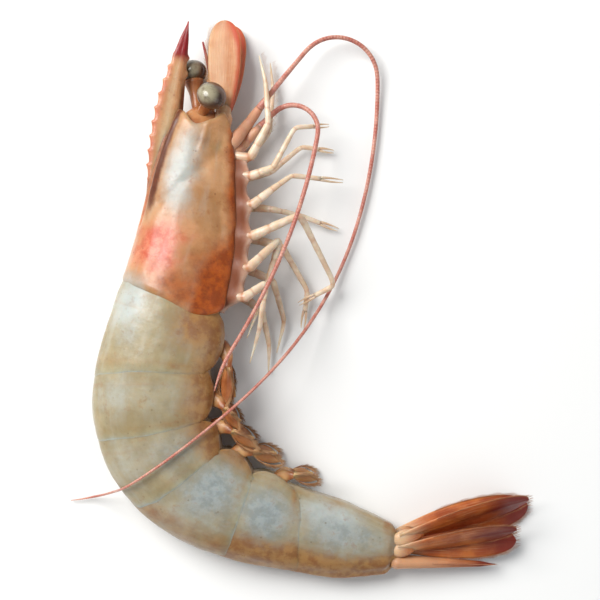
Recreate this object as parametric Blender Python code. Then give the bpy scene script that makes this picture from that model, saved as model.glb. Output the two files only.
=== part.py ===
"""A whole raw shrimp, head and shell on, lying on its left side with its right side up.

Metres, Z up. The head points along +Y, the back faces -X and the belly faces +X.
Sizes below are in millimetres and angles in degrees.
"""

import math

import bmesh
import bpy
import numpy as np

MM = 0.001

# Places along the body are measured on its middle line from the rear edge of the head shell.
# They are positive towards the tail and negative towards the head.
HEAD_FRONT = -38.5
HEAD_REAR = 0.0
SEGMENT_LENGTHS = (14.6, 12.7, 11.6, 13.1, 12.5, 21.8)
START_X = -27.7
START_Y = 0.0

# Each station holds its place, depth from back to belly, width from side to side,
# heading of the middle line and roll of the section towards the viewer.
STATIONS = (
    (-46.0, 8.2, 6.4, -12.0, 14.0),
    (-36.0, 14.0, 10.2, -11.0, 14.0),
    (-20.0, 19.8, 14.4, -5.0, 12.0),
    (0.0, 24.2, 16.8, -14.0, 6.0),
    (14.6, 26.0, 17.2, -15.0, 2.0),
    (27.3, 25.8, 16.8, 12.0, 0.0),
    (38.9, 23.8, 15.6, 46.0, 0.0),
    (52.0, 21.0, 13.6, 68.0, 0.0),
    (64.5, 17.6, 11.2, 74.0, 0.0),
    (75.0, 15.3, 9.0, 78.0, 0.0),
    (86.0, 9.6, 6.6, 82.0, 0.0),
)

# The front edge of the head shell bends round the section. Each row holds a depth along the
# body, the turn of its middle and its reach.
EYE_NOTCH = (2.4, 68.0, 24.0)
CHEEK_POINT = (-1.6, 112.0, 12.0)
LOWER_CORNER = (9.0, 140.0, 9.0)
HEAD_GROOVE = 1.2
HEAD_KEEL = 0.7

# The rear edge of each shell leans: plus moves its back end towards the tail.
EDGE_LEANS = (-1.3, 2.8, -0.8, -2.2, 0.3, 2.0, 0.0)
SHELL_STEP = 0.5
LOBE_DEPTH = 0.12
BELLY_GROOVE = 1.9
KEEL_HEIGHT = 0.9
FLAT_DEPTH = 0.45
HEAD_LIFT_START = -12.0
TAIL_LIFT_START = 60.0
TAIL_LIFT = 1.3
GAP = 0.3
LOWEST_LIMB = 0.15

# The snout blade rises from the ridge of the head shell. Each row holds how far ahead of the
# front of the shell it lies, and how far its upper and its lower edge are above the middle line.
SNOUT_ROWS = (
    (-25.0, 8.6, 6.0),
    (-20.0, 9.1, 6.4),
    (-15.0, 9.7, 6.4),
    (-10.0, 10.3, 6.2),
    (-5.0, 10.7, 5.6),
    (0.0, 10.7, 5.1),
    (4.0, 10.3, 5.6),
    (8.0, 9.7, 6.1),
    (12.0, 9.2, 6.5),
    (15.0, 8.6, 6.9),
    (17.8, 7.8, 7.5),
)
SNOUT_THICKNESS = 2.2
SNOUT_TIP_THICKNESS = 0.7
TOOTH_HEIGHT = 0.7
TOOTH_LENGTH = 3.0
TOOTH_PLACES = (-15.0, 11.0)

# Eyes. A spot ahead of the head shell holds how far forward, how far to the back and how far
# to the right it lies.
EYE_WIDTH = 6.2
EYE_LENGTH = 5.0
STALK_WIDTH = 2.6
STALK_SWELL = (0.8, 0.85, 1.0, 1.25)
STALK_REACH = 0.72
STALK_SPOT = (1.0, 1.6, 1.3)
RIGHT_EYE_SPOT = (3.7, 0.8, 5.5)
LEFT_EYE_SPOT = (8.6, 4.2, -3.7)

# Tail fan
TELSON_LENGTH = 21.0
TELSON_WIDTH = 4.6
TELSON_DEPTH = 3.2
TELSON_TURN = -2.0
TELSON_SLOPE = -0.06
TELSON_SPOT = 3.2
TELSON_GROOVE = 0.45
FAN_OUTER_LENGTH = 28.0
FAN_OUTER_WIDTH = 7.8
FAN_INNER_LENGTH = 25.0
FAN_INNER_WIDTH = 6.4
FAN_THICKNESS = 1.0
FAN_TIP = 0.6

# Each blade of the fan holds its name, turn in plan, place to the back and to the right,
# height of its tip, length, width and the direction of its breadth.
FAN_BLADES = (
    ("outer_right", 17.0, -2.2, 1.9, 7.0, FAN_OUTER_LENGTH, FAN_OUTER_WIDTH, (0.0, 0.62, 0.78)),
    ("inner_right", 10.0, 0.3, 1.6, 7.0, FAN_INNER_LENGTH, FAN_INNER_WIDTH, (0.0, 0.62, 0.78)),
    ("inner_left", 3.0, 0.1, -0.9, 2.9, FAN_INNER_LENGTH, FAN_INNER_WIDTH, (0.0, 0.98, -0.14)),
    ("outer_left", 12.0, -2.5, -2.3, 0.8, FAN_OUTER_LENGTH, FAN_OUTER_WIDTH, (0.0, 1.0, 0.0)),
)

# Feelers. The scales and the small feelers hold a side, a spot ahead of the head shell, a turn
# in plan and, for a scale, its slope and the direction of its breadth.
SCALE_LENGTH = 19.4
SCALE_WIDTH = 6.8
SCALE_TIP = 0.7
SCALES = (
    ("right", (1.0, -3.0, 1.95), 89.0, 0.0, (1.0, 0.0, 0.0)),
    ("left", (1.0, -4.0, -3.2), 84.0, -0.06, (1.0, 0.0, -0.15)),
)
ANTENNULES = (
    ("right", (0.9, -0.4, 0.3), 89.0, 15.0),
    ("left", (0.9, -0.7, -1.75), 77.0, 13.0),
)
ANTENNULE_WIDTHS = (1.9, 1.8, 1.7, 1.5, 1.0, 0.7, 0.6, 0.5)
ANTENNULE_DROP = 1.5
FEELER_WIDTH = 1.9
FEELER_TIP_WIDTH = 0.7

# Each long feeler starts at a point and a direction in plan. Its bends hold a turn, plus to the
# left, and a length. Its heights hold a distance along it and a height.
RIGHT_FEELER = (-15.3, 33.4, 53.0)
RIGHT_BENDS = ((-2, 23.3), (-140, 20.8), (-18, 31.8), (-24, 30.9), (-8, 15.0), (-8, 26.6), (-28, 15.0))
RIGHT_HEIGHTS = (
    (0, 7.6),
    (12, 8.4),
    (30, 4.0),
    (48, 1.2),
    (90, 1.2),
    (99, 6.5),
    (107, 13.8),
    (113, 15.8),
    (122, 16.4),
    (148, 5.0),
    (158, 0.7),
)
LEFT_FEELER = (-16.0, 29.8, 50.0)
LEFT_BENDS = ((-6, 12.0), (-144, 13.8), (-14, 27.7), (-8, 20.0), (18, 9.4))
LEFT_HEIGHTS = ((0, 3.4), (12, 6.4), (26, 12.0), (38, 14.8), (60, 15.0), (72, 15.4), (83, 15.6))

FEELER_WIDTHS = (3.0, FEELER_WIDTH, 1.4, FEELER_TIP_WIDTH)

# Swimming legs. Each leaves the belly steeply and bends back towards the tail.
PADDLE_LENGTHS = (11.8, 8.0, 9.0, 9.0, 7.5)
PADDLE_OPENINGS = (16.0, 40.0, 32.0, 20.0, 14.0)
PADDLE_THICKNESS = 1.7
PADDLE_BREADTH = 2.3
PADDLE_START_BEND = 35.0
PADDLE_END_BEND = 8.0
PADDLE_TURN = 24.0
PADDLE_NECK = 0.62
PADDLE_SWELL = 0.5
LEFT_PADDLE_SIZE = 0.9
LEFT_PADDLE_OPENING = 4.0

# The breast is the band under the head shell that carries the legs
BREAST_START = -30.2
BREAST_END = 0.8
BREAST_DEPTH = 1.9
BREAST_RIGHT_TURN = 123.75
BREAST_LEFT_TURN = 213.75
BREAST_CLEARANCE = GAP + 0.4

# Every limb leaves the breast at its turn round the section, and swells at its joints
RIGHT_LEG_TURN = 144.0
LEFT_LEG_TURN = 200.0
LEG_CLEARANCE = BREAST_CLEARANCE + BREAST_DEPTH + GAP
LEG_STUB = 0.5
LEG_SWELL = (0.8, 1.15, 1.1, 1.0, 1.0, 0.98, 0.92, 0.72, 0.74, 0.66, 0.68, 0.5, 0.56, 0.4, 0.2)

# Walking legs and the mouth legs in front of them. Each row holds the name, side, place on the
# body, width at the top, and then length, direction in plan and end height for every link.
WALKING_LEGS = (
    ("maxilliped", 1, -31.0, 2.0, ((8.0, 62.0, 11.0), (9.0, 94.0, 9.5), (6.0, 104.0, 8.0))),
    ("maxilliped", -1, -31.0, 2.0, ((8.0, 48.0, 3.2), (9.0, 84.0, 2.2), (6.0, 96.0, 1.6))),
    ("leg_1", 1, -27.0, 2.0, ((5.0, 20.0, 11.5), (9.4, 62.0, 11.0), (8.0, 6.0, 7.5))),
    ("leg_1", -1, -27.0, 2.0, ((6.0, 12.0, 3.0), (8.5, 40.0, 2.2), (7.0, -8.0, 1.2))),
    ("leg_2", 1, -20.5, 2.1, ((5.4, 38.0, 11.0), (5.0, 36.0, 10.0), (11.5, -5.0, 6.0))),
    ("leg_2", -1, -20.5, 2.1, ((6.0, -6.0, 3.4), (6.0, -12.0, 2.6), (9.0, -20.0, 1.2))),
    ("leg_3", 1, -14.5, 2.2, ((11.0, 24.0, 12.5), (17.6, -63.0, 5.6), (9.2, -153.0, 2.4))),
    ("leg_3", -1, -14.5, 2.2, ((8.0, -14.0, 3.4), (11.0, -60.0, 2.2), (8.0, -98.0, 1.2))),
    ("leg_4", 1, -8.5, 2.2, ((9.5, 44.0, 9.6), (12.5, -106.0, 8.2), (9.5, -112.0, 6.6))),
    ("leg_4", -1, -8.5, 2.2, ((6.5, -24.0, 3.2), (9.0, -74.0, 2.0), (7.0, -104.0, 1.2))),
    ("leg_5", 1, -3.0, 2.2, ((5.6, 34.0, 12.2), (9.6, -98.0, 11.4), (7.4, -106.0, 10.6))),
    ("leg_5", -1, -3.0, 2.2, ((5.0, -36.0, 3.2), (7.5, -78.0, 2.0), (6.0, -92.0, 1.2))),
)

# Colours
SHELL_CREAM = (0.50, 0.43, 0.31)
SHELL_ORANGE = (0.52, 0.27, 0.10)
FAN_ORANGE = (0.45, 0.14, 0.05)
LEG_CREAM = (0.62, 0.47, 0.34)
FEELER_PINK = (0.48, 0.19, 0.12)
PADDLE_BROWN = (0.36, 0.19, 0.09)
EYE_BROWN = (0.035, 0.018, 0.010)
BREAST_PINK = (0.60, 0.38, 0.27)

BODY_SIDES = 32


def smooth_value(column, place):
    """Reads one column of the stations along a smooth curve through them."""
    places = [row[0] for row in STATIONS]
    values = [row[column] for row in STATIONS]
    place = min(max(place, places[0]), places[-1])
    index = max(i for i in range(len(places) - 1) if places[i] <= place)
    slopes = []
    for i in (index, index + 1):
        low = max(i - 1, 0)
        high = min(i + 1, len(places) - 1)
        slopes.append((values[high] - values[low]) / (places[high] - places[low]))
    span = places[index + 1] - places[index]
    t = (place - places[index]) / span
    start = values[index] * (2 * t**3 - 3 * t**2 + 1) + slopes[0] * span * (t**3 - 2 * t**2 + t)
    end = values[index + 1] * (3 * t**2 - 2 * t**3) + slopes[1] * span * (t**3 - t**2)
    return start + end


def heading(place):
    return math.radians(np.interp(place, [row[0] for row in STATIONS], [row[3] for row in STATIONS]))


def middle_line(place):
    """Follows the heading from the rear edge of the head shell to this place."""
    steps = max(2, int(abs(place) / 0.5))
    x, y = START_X, START_Y
    step = place / steps
    for i in range(steps):
        angle = heading((i + 0.5) * step)
        x += math.sin(angle) * step
        y -= math.cos(angle) * step
    half_width = smooth_value(2, place) / 2
    half_depth = smooth_value(1, place) / 2
    roll = math.radians(smooth_value(4, place))
    height = math.hypot(half_width * math.cos(roll), half_depth * math.sin(roll)) - FLAT_DEPTH
    if place < HEAD_LIFT_START:
        height = middle_line(HEAD_LIFT_START)[2] + 0.02 * (place - HEAD_LIFT_START)
    if place > TAIL_LIFT_START:
        height += TAIL_LIFT * ((place - TAIL_LIFT_START) / (STATIONS[-1][0] - TAIL_LIFT_START)) ** 1.5
    return np.array((x, y, height))


def directions(place):
    """Unit vectors towards the tail, the back and the right side."""
    angle = heading(place)
    roll = math.radians(smooth_value(4, place))
    tail = np.array((math.sin(angle), -math.cos(angle), 0.0))
    level = np.array((-math.cos(angle), -math.sin(angle), 0.0))
    up = np.array((0.0, 0.0, 1.0))
    back = level * math.cos(roll) + up * math.sin(roll)
    right = up * math.cos(roll) - level * math.sin(roll)
    return tail, back, right


def section(turn, depth, width, lobe=0.0, keel=0.0, groove=0.0):
    """One point of a cross-section. Turn is 0 at the back, 90 on the right side and 180 at the belly."""
    angle = math.radians(turn)
    c, s = math.cos(angle), math.sin(angle)
    power = 2 / (2.12 if c > 0 else 2.5)
    up = math.copysign(abs(c) ** power, c) * depth / 2
    side = math.copysign(abs(s) ** power, s) * width / 2
    side *= 1 - 0.10 * max(c, 0) ** 1.5
    if c < 0:
        up *= 1 + lobe * abs(c)
    up += keel * math.exp(-((((turn + 180) % 360) - 180) / 13) ** 2)
    up += groove * math.exp(-((turn - 180) / 24) ** 2)
    return up, side


def body_point(place, turn, grow=0.0, lobe=0.0, keel=0.0, groove=0.0):
    centre = middle_line(place)
    _, back, right = directions(place)
    depth = smooth_value(1, place) + 2 * grow
    width = smooth_value(2, place) + 2 * grow
    up, side = section(turn, depth, width, lobe, keel, groove)
    point = centre + back * up + right * side
    point[2] = max(point[2], 0.0)
    return point


def make_material(name, colour, roughness):
    material = bpy.data.materials.new(name)
    material.use_nodes = True
    shader = material.node_tree.nodes["Principled BSDF"]
    shader.inputs["Base Color"].default_value = (*colour, 1.0)
    shader.inputs["Roughness"].default_value = roughness
    return material


def make_object(name, points, faces, colour, roughness=0.25, smooth=True):
    mesh = bpy.data.meshes.new(name)
    mesh.from_pydata([tuple(np.array(point) * MM) for point in points], [], faces)
    body = bmesh.new()
    body.from_mesh(mesh)
    bmesh.ops.remove_doubles(body, verts=body.verts, dist=0.000002)
    bmesh.ops.recalc_face_normals(body, faces=body.faces)
    if body.calc_volume(signed=True) < 0:
        bmesh.ops.reverse_faces(body, faces=body.faces)
    body.to_mesh(mesh)
    body.free()
    for polygon in mesh.polygons:
        polygon.use_smooth = smooth
    mesh.materials.append(make_material(name + "_look", colour, roughness))
    item = bpy.data.objects.new(name, mesh)
    bpy.context.scene.collection.objects.link(item)
    return item


def loft(name, rings, colour, roughness=0.25):
    """Joins rings of points into one closed body. A ring of one point is a tip."""
    points, starts = [], []
    for ring in rings:
        starts.append(len(points))
        points.extend(ring)
    faces = []
    for i in range(len(rings) - 1):
        a, b = starts[i], starts[i + 1]
        count = max(len(rings[i]), len(rings[i + 1]))
        for j in range(count):
            k = (j + 1) % count
            if len(rings[i]) == 1:
                faces.append((a, b + j, b + k))
            elif len(rings[i + 1]) == 1:
                faces.append((a + j, b, a + k))
            else:
                faces.append((a + j, b + j, b + k, a + k))
    for i in (0, len(rings) - 1):
        if len(rings[i]) > 1:
            centre = len(points)
            points.append(np.mean(rings[i], axis=0))
            for j in range(len(rings[i])):
                faces.append((starts[i] + j, starts[i] + (j + 1) % len(rings[i]), centre))
    return make_object(name, points, faces, colour, roughness)


def frames_along(points):
    """A tangent, a side and a top direction at every point of a line."""
    points = np.array(points)
    tangents = np.gradient(points, axis=0)
    tangents /= np.linalg.norm(tangents, axis=1)[:, None]
    up = np.array((0.0, 0.0, 1.0))
    sides = np.cross(tangents, up)
    sides /= np.linalg.norm(sides, axis=1)[:, None]
    return tangents, sides, np.cross(sides, tangents)


def tube(name, line, widths, colour, sides=8, flatten=1.0, pointed=True):
    """A round limb along a line. Widths are full widths at each point."""
    _, side, top = frames_along(line)
    rings = []
    for i, centre in enumerate(line):
        if pointed and i == len(line) - 1:
            rings.append([centre])
            continue
        ring = []
        for j in range(sides):
            angle = 2 * math.pi * j / sides
            across = side[i] * math.cos(angle) + top[i] * math.sin(angle) * flatten
            point = centre + across * widths[i] / 2
            point[2] = max(point[2], LOWEST_LIMB)
            ring.append(point)
        rings.append(ring)
    return loft(name, rings, colour)


def blade(name, root, along, across, size, colour, tip):
    """A flat leaf with a low ridge down its middle, as in the tail fan."""
    length, width, thickness = size
    along = np.array(along) / np.linalg.norm(along)
    across = np.array(across) - along * np.dot(across, along)
    across /= np.linalg.norm(across)
    normal = np.cross(along, across)
    rings = []
    steps = 11
    for i in range(steps):
        t = 1 - (1 - i / (steps - 1)) ** 1.5
        reach = 0.34 + 0.66 * math.sin(min(t / 0.6, 1) * math.pi / 2)
        if t > tip:
            reach *= math.sqrt(max(1 - ((t - tip) / (1.02 - tip)) ** 2, 0))
        half = width / 2 * reach
        thick = thickness * (1.5 - t) / 1.5
        centre = np.array(root) + along * length * t
        ring = []
        for j in range(12):
            angle = 2 * math.pi * j / 12
            ridge = 1 + 0.5 * abs(math.sin(angle)) ** 3
            ring.append(
                centre
                + across * math.cos(angle) * half
                + normal * math.sin(angle) * thick / 2 * ridge
            )
        rings.append(ring)
    return loft(name, rings, colour)


def join(item, other):
    """Adds another body to an item with a Boolean union and removes the other body."""
    union = item.modifiers.new("Union", "BOOLEAN")
    union.operation = "UNION"
    union.solver = "EXACT"
    union.object = other
    bpy.context.view_layer.update()
    graph = bpy.context.evaluated_depsgraph_get()
    mesh = bpy.data.meshes.new_from_object(item.evaluated_get(graph))
    item.modifiers.clear()
    item.data = mesh
    bpy.data.objects.remove(other, do_unlink=True)
    return item


def edge_shift(lean, turn):
    """How far the rear edge of a shell lies from its station, going round the section."""
    angle = math.radians(turn)
    return lean * math.cos(angle)


def segment_starts():
    places = [HEAD_REAR]
    for length in SEGMENT_LENGTHS:
        places.append(places[-1] + length)
    return places


def build_abdomen():
    places = segment_starts()
    steps = 6
    for number in range(6):
        front, rear = places[number], places[number + 1]
        keel = KEEL_HEIGHT * max(0, number - 2) / 3
        rings = []
        for i in range(steps + 1):
            t = i / steps
            bulge = math.sin(math.pi * min(max(t, 0.0), 1.0)) ** 0.7
            lobe = LOBE_DEPTH * (bulge - 0.75) if number < 5 else 0.02 * bulge
            grow = SHELL_STEP * (t - 0.6)
            ring = []
            for j in range(BODY_SIDES):
                turn = 360 * j / BODY_SIDES
                shift = edge_shift(EDGE_LEANS[number], turn) * (1 - t)
                shift += edge_shift(EDGE_LEANS[number + 1], turn) * t
                place = front + (rear - front) * t + shift
                place += GAP * (0.6 if i == 0 else -0.6 if i == steps else 0.0)
                groove = BELLY_GROOVE * (1 - number / 7)
                ring.append(body_point(place, turn, grow, lobe, keel, groove))
            rings.append(ring)
        loft(f"abdomen_{number + 1}", rings, SHELL_CREAM)


def head_front_edge(turn):
    """The front edge of the head shell: an eye notch, a cheek point and a cut-back lower corner."""
    turn = abs(((turn + 180) % 360) - 180)
    edge = HEAD_FRONT
    for depth, middle, reach in (EYE_NOTCH, CHEEK_POINT):
        edge += depth * math.exp(-(((turn - middle) / reach) ** 2))
    depth, middle, reach = LOWER_CORNER
    return edge + depth / (1 + math.exp(-(turn - middle) / reach))


def build_head():
    rings = []
    steps = 13
    for i in range(steps + 1):
        t = i / steps
        ring = []
        for j in range(BODY_SIDES):
            turn = 360 * j / BODY_SIDES
            front = head_front_edge(turn)
            rear = HEAD_REAR + edge_shift(EDGE_LEANS[0], turn) - GAP * 0.6
            place = front + (rear - front) * t
            keel = HEAD_KEEL * max(0.0, 1 - t * 1.4)
            ring.append(body_point(place, turn, 0.15 * t, 0.0, keel, HEAD_GROOVE))
        rings.append(ring)
    head = loft("head_shell", rings, SHELL_ORANGE)
    return join(head, build_snout())


def build_snout():
    """The toothed blade that runs forward from the ridge of the head shell."""
    ahead, tops, bottoms = zip(*SNOUT_ROWS)
    steps = np.arange(ahead[0], ahead[-1] + 0.01, TOOTH_LENGTH / 3)
    rings = []
    for i, forward in enumerate(steps):
        t = i / (len(steps) - 1)
        top = np.interp(forward, ahead, tops)
        bottom = np.interp(forward, ahead, bottoms)
        toothed = TOOTH_PLACES[0] <= forward <= TOOTH_PLACES[1]
        saw = TOOTH_HEIGHT * (1 - (i % 3) / 2) if toothed else 0.0
        half = (SNOUT_THICKNESS + (SNOUT_TIP_THICKNESS - SNOUT_THICKNESS) * t) / 2
        middle = (top + bottom) / 2
        rings.append(
            [
                head_spot(forward, top + saw, 0.0),
                head_spot(forward, middle, half),
                head_spot(forward, bottom, 0.0),
                head_spot(forward, middle, -half),
            ]
        )
    return loft("snout", rings, SHELL_ORANGE)


def head_spot(forward, up, side):
    """A point ahead of the head shell, from its front along its middle line."""
    place = HEAD_FRONT
    tail, back, right = directions(place)
    return middle_line(place) - tail * forward + back * up + right * side


def build_breast():
    """The band between the head shell and the legs, shaped to the underside of the shell."""
    step = 360 / BODY_SIDES
    turns = np.arange(BREAST_RIGHT_TURN, BREAST_LEFT_TURN + step / 2, step)
    middle = (BREAST_RIGHT_TURN + BREAST_LEFT_TURN) / 2
    reach = (BREAST_LEFT_TURN - BREAST_RIGHT_TURN) / 2
    rings = []
    for place in np.linspace(BREAST_START, BREAST_END, 15):
        t = (place - BREAST_START) / (BREAST_END - BREAST_START)
        along = 0.3 + 0.7 * math.sin(math.pi * t) ** 0.5
        inner = [body_point(place, turn, BREAST_CLEARANCE, 0.0, 0.0, HEAD_GROOVE) for turn in turns]
        outer = []
        for turn in turns:
            across = 0.35 + 0.65 * math.cos((turn - middle) / reach * math.pi / 2)
            grow = BREAST_CLEARANCE + BREAST_DEPTH * along * across
            point = body_point(place, turn, grow, 0.0, 0.0, HEAD_GROOVE)
            point[2] = max(point[2], LOWEST_LIMB)
            outer.append(point)
        rings.append(inner + outer[::-1])
    loft("breast", rings, BREAST_PINK)


def build_eyes():
    for spot, name in ((RIGHT_EYE_SPOT, "eye_right"), (LEFT_EYE_SPOT, "eye_left")):
        forward, up, side = STALK_SPOT
        base = head_spot(forward, up, math.copysign(side, spot[2]))
        centre = head_spot(*spot)
        centre[2] = max(centre[2], EYE_WIDTH / 2 + 0.05)
        way = (centre - base) / np.linalg.norm(centre - base)
        line = [base + (centre - base) * t for t in np.linspace(0, STALK_REACH, len(STALK_SWELL))]
        widths = [STALK_WIDTH * swell for swell in STALK_SWELL]
        stalk = tube("stalk", np.array(line), widths, EYE_BROWN, 8, 1.0, False)
        across = np.cross(way, (0.3, 0.2, 1.0))
        across /= np.linalg.norm(across)
        high = np.cross(across, way)
        rings = [[centre - way * EYE_LENGTH / 2]]
        for i in range(1, 8):
            angle = math.pi * i / 8
            radius = EYE_WIDTH / 2 * math.sin(angle)
            middle = centre - way * EYE_LENGTH / 2 * math.cos(angle)
            rings.append(
                [
                    middle
                    + across * radius * math.cos(2 * math.pi * j / 12)
                    + high * radius * math.sin(2 * math.pi * j / 12)
                    for j in range(12)
                ]
            )
        rings.append([centre + way * EYE_LENGTH / 2])
        eye = loft(name, rings, EYE_BROWN)
        join(eye, stalk)


def build_feelers():
    for tag, spot, turn, slope, across in SCALES:
        # The flat scale beside each feeler
        angle = math.radians(turn)
        along = (math.cos(angle), math.sin(angle), slope)
        size = (SCALE_LENGTH, SCALE_WIDTH, FAN_THICKNESS)
        blade(f"antennal_scale_{tag}", head_spot(*spot), along, across, size, SHELL_ORANGE, SCALE_TIP)
    for tag, spot, turn, reach in ANTENNULES:
        # The small inner feeler
        angle = math.radians(turn)
        way = np.array((math.cos(angle), math.sin(angle), 0.0))
        line = []
        for t in np.linspace(0, 1, len(ANTENNULE_WIDTHS)):
            drop = np.array((0, 0, ANTENNULE_DROP * t * t))
            line.append(head_spot(*spot) + way * reach * t - drop)
        tube(f"antennule_{tag}", np.array(line), ANTENNULE_WIDTHS, FEELER_PINK, 6)


def plan_line(start, bends, spacing=2.2):
    """A line in plan made of arcs, each with a turn and a length."""
    points = [np.array(start[:2], float)]
    way = math.radians(start[2])
    for turn, length in bends:
        count = max(2, int(length / spacing), int(abs(turn) / 14))
        for _ in range(count):
            way += math.radians(turn) / count / 2
            points.append(points[-1] + length / count * np.array((math.cos(way), math.sin(way))))
            way += math.radians(turn) / count / 2
    return np.array(points)


def height_of_body(x, y):
    """The height of the upper flank of the body over a point in plan, or zero beside the body."""
    places = np.linspace(-30.0, 84.0, 115)
    centres = np.array([middle_line(place) for place in places])
    nearest = int(np.argmin(np.hypot(centres[:, 0] - x, centres[:, 1] - y)))
    place = places[nearest]
    _, back, _ = directions(place)
    offset = abs((x - centres[nearest][0]) * back[0] + (y - centres[nearest][1]) * back[1])
    reach = smooth_value(1, place) / 2 + 0.4
    if offset >= reach:
        return 0.0
    return centres[nearest][2] + (smooth_value(2, place) / 2 + 0.4) * math.sqrt(1 - (offset / reach) ** 2.4)


def build_long_feelers():
    rows = (
        ("antenna_right", RIGHT_FEELER, RIGHT_BENDS, RIGHT_HEIGHTS),
        ("antenna_left", LEFT_FEELER, LEFT_BENDS, LEFT_HEIGHTS),
    )
    for name, start, bends, heights in rows:
        plan = plan_line(start, bends)
        lengths = np.concatenate([[0], np.cumsum(np.linalg.norm(np.diff(plan, axis=0), axis=1))])
        planned = np.interp(lengths, [row[0] for row in heights], [row[1] for row in heights])
        steps = [0, 5, 16, lengths[-1]]
        widths = np.interp(lengths, steps, FEELER_WIDTHS)
        over = [height_of_body(x, y) + width / 2 + GAP for (x, y), width in zip(plan, widths)]
        tall = np.maximum(planned, over)
        for _ in range(2):
            tall[1:-1] = np.maximum(tall[1:-1], (tall[:-2] + tall[2:]) / 2)
        tube(name, np.column_stack([plan, tall]), widths, FEELER_PINK, 6)


def build_legs():
    for name, side, place, width, links in WALKING_LEGS:
        turn = RIGHT_LEG_TURN if side > 0 else LEFT_LEG_TURN
        start = body_point(place, turn, LEG_CLEARANCE, 0.0, 0.0, HEAD_GROOVE)
        _, back, _ = directions(place)
        corners = [start, start - back * LEG_STUB]
        for length, angle, height in links:
            flat = np.array((math.cos(math.radians(angle)), math.sin(math.radians(angle))))
            last = corners[-1]
            drop = height - last[2]
            run = math.sqrt(max(length**2 - drop**2, 1.0))
            corners.append(np.array((last[0] + flat[0] * run, last[1] + flat[1] * run, height)))
        line = [corners[0], corners[0] * 0.6 + corners[1] * 0.4]
        for a, b in zip(corners[1:-1], corners[2:]):
            for t in (0.0, 0.14, 0.5, 0.86):
                line.append(a + (b - a) * t)
        line.append(corners[-1])
        widths = [width * swell for swell in LEG_SWELL]
        tag = "right" if side > 0 else "left"
        tube(f"{name}_{tag}", np.array(line), widths, LEG_CREAM, 7)


def build_paddles():
    places = segment_starts()
    for number in range(5):
        for side, tag in ((1, "right"), (-1, "left")):
            place = (places[number] + places[number + 1]) / 2
            tail, back, right = directions(place)
            groove = BELLY_GROOVE * (1 - number / 7)
            start = body_point(place, 180 - PADDLE_TURN * side, GAP + 0.4, 0.0, 0.0, groove)
            length = PADDLE_LENGTHS[number] * (1.0 if side > 0 else LEFT_PADDLE_SIZE)
            opening = math.radians(PADDLE_OPENINGS[number] + (0 if side > 0 else LEFT_PADDLE_OPENING))
            steps = 7
            line, widths = [], []
            for i in range(steps + 1):
                t = i / steps
                bend = PADDLE_START_BEND * (1 - t) ** 4 - PADDLE_END_BEND * t
                angle = opening + math.radians(bend)
                way = tail * math.cos(angle) - back * math.sin(angle)
                line.append(line[-1] + way * length / steps + right * 0.1 * side if line else start)
                swell = PADDLE_SWELL * math.sin(math.pi * min(t * 1.05, 1.0))
                widths.append(PADDLE_THICKNESS * (PADDLE_NECK + swell))
            tube(f"swimmeret_{number + 1}_{tag}", np.array(line), widths, PADDLE_BROWN, 8, PADDLE_BREADTH)


def build_tail():
    rear = segment_starts()[-1] + GAP
    tail, back, right = directions(STATIONS[-1][0])
    base = middle_line(STATIONS[-1][0]) + tail * (rear - STATIONS[-1][0])
    # Telson, a tapering spike with a groove along its back
    angle = math.radians(TELSON_TURN)
    way = np.array((math.cos(angle), math.sin(angle), TELSON_SLOPE))
    way /= np.linalg.norm(way)
    low = np.cross(way, (0.0, 0.0, 1.0))
    up = np.cross(low, way)
    root = base + back * TELSON_SPOT + way * GAP
    rings = []
    steps = 8
    for i in range(steps):
        t = i / steps
        half_width = TELSON_WIDTH / 2 * (1 - t) ** 0.8
        half_depth = TELSON_DEPTH / 2 * (1 - 0.7 * t)
        ring = []
        for j in range(12):
            turn = 2 * math.pi * j / 12
            dip = TELSON_GROOVE * math.exp(-((min(j, 12 - j) / 0.9) ** 2))
            across = low * math.cos(turn) * (half_depth - dip)
            ring.append(root + way * TELSON_LENGTH * t + across + up * math.sin(turn) * half_width)
        rings.append(ring)
    rings.append([root + way * TELSON_LENGTH])
    loft("telson", rings, FAN_ORANGE)
    for name, lift, up, side, height, length, width, across in FAN_BLADES:
        root = base + back * up + right * side + tail * GAP
        angle = math.radians(lift)
        along = (math.cos(angle), math.sin(angle), (height - root[2]) / length)
        blade(f"uropod_{name}", root, along, across, (length, width, FAN_THICKNESS), FAN_ORANGE, FAN_TIP)


def stand_on_origin():
    """Moves every part so that the origin is at the middle of the underside."""
    low = np.full(3, np.inf)
    high = np.full(3, -np.inf)
    parts = [item for item in bpy.context.scene.objects if item.type == "MESH"]
    for item in parts:
        corners = np.array([vertex.co[:] for vertex in item.data.vertices])
        low = np.minimum(low, corners.min(axis=0))
        high = np.maximum(high, corners.max(axis=0))
    shift = ((low[0] + high[0]) / 2, (low[1] + high[1]) / 2, low[2])
    print("middle of the underside in mm:", [round(value / MM, 3) for value in shift])
    for item in parts:
        item.location = [-value for value in shift]


def build():
    for item in list(bpy.data.objects):
        bpy.data.objects.remove(item, do_unlink=True)
    build_head()
    build_breast()
    build_abdomen()
    build_tail()
    build_eyes()
    build_feelers()
    build_long_feelers()
    build_legs()
    build_paddles()
    stand_on_origin()


build()
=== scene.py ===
"""A whole raw shrimp lying on its left side, with thin wet shells, legs, feelers and a folded tail fan.

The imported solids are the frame. Sizes below are in millimetres and angles in degrees, and they
repeat the part's own driving sizes. The head points along +Y, the back faces -X and the belly +X.
"""

import math

import bpy
import numpy as np
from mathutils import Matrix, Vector, noise


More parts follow.
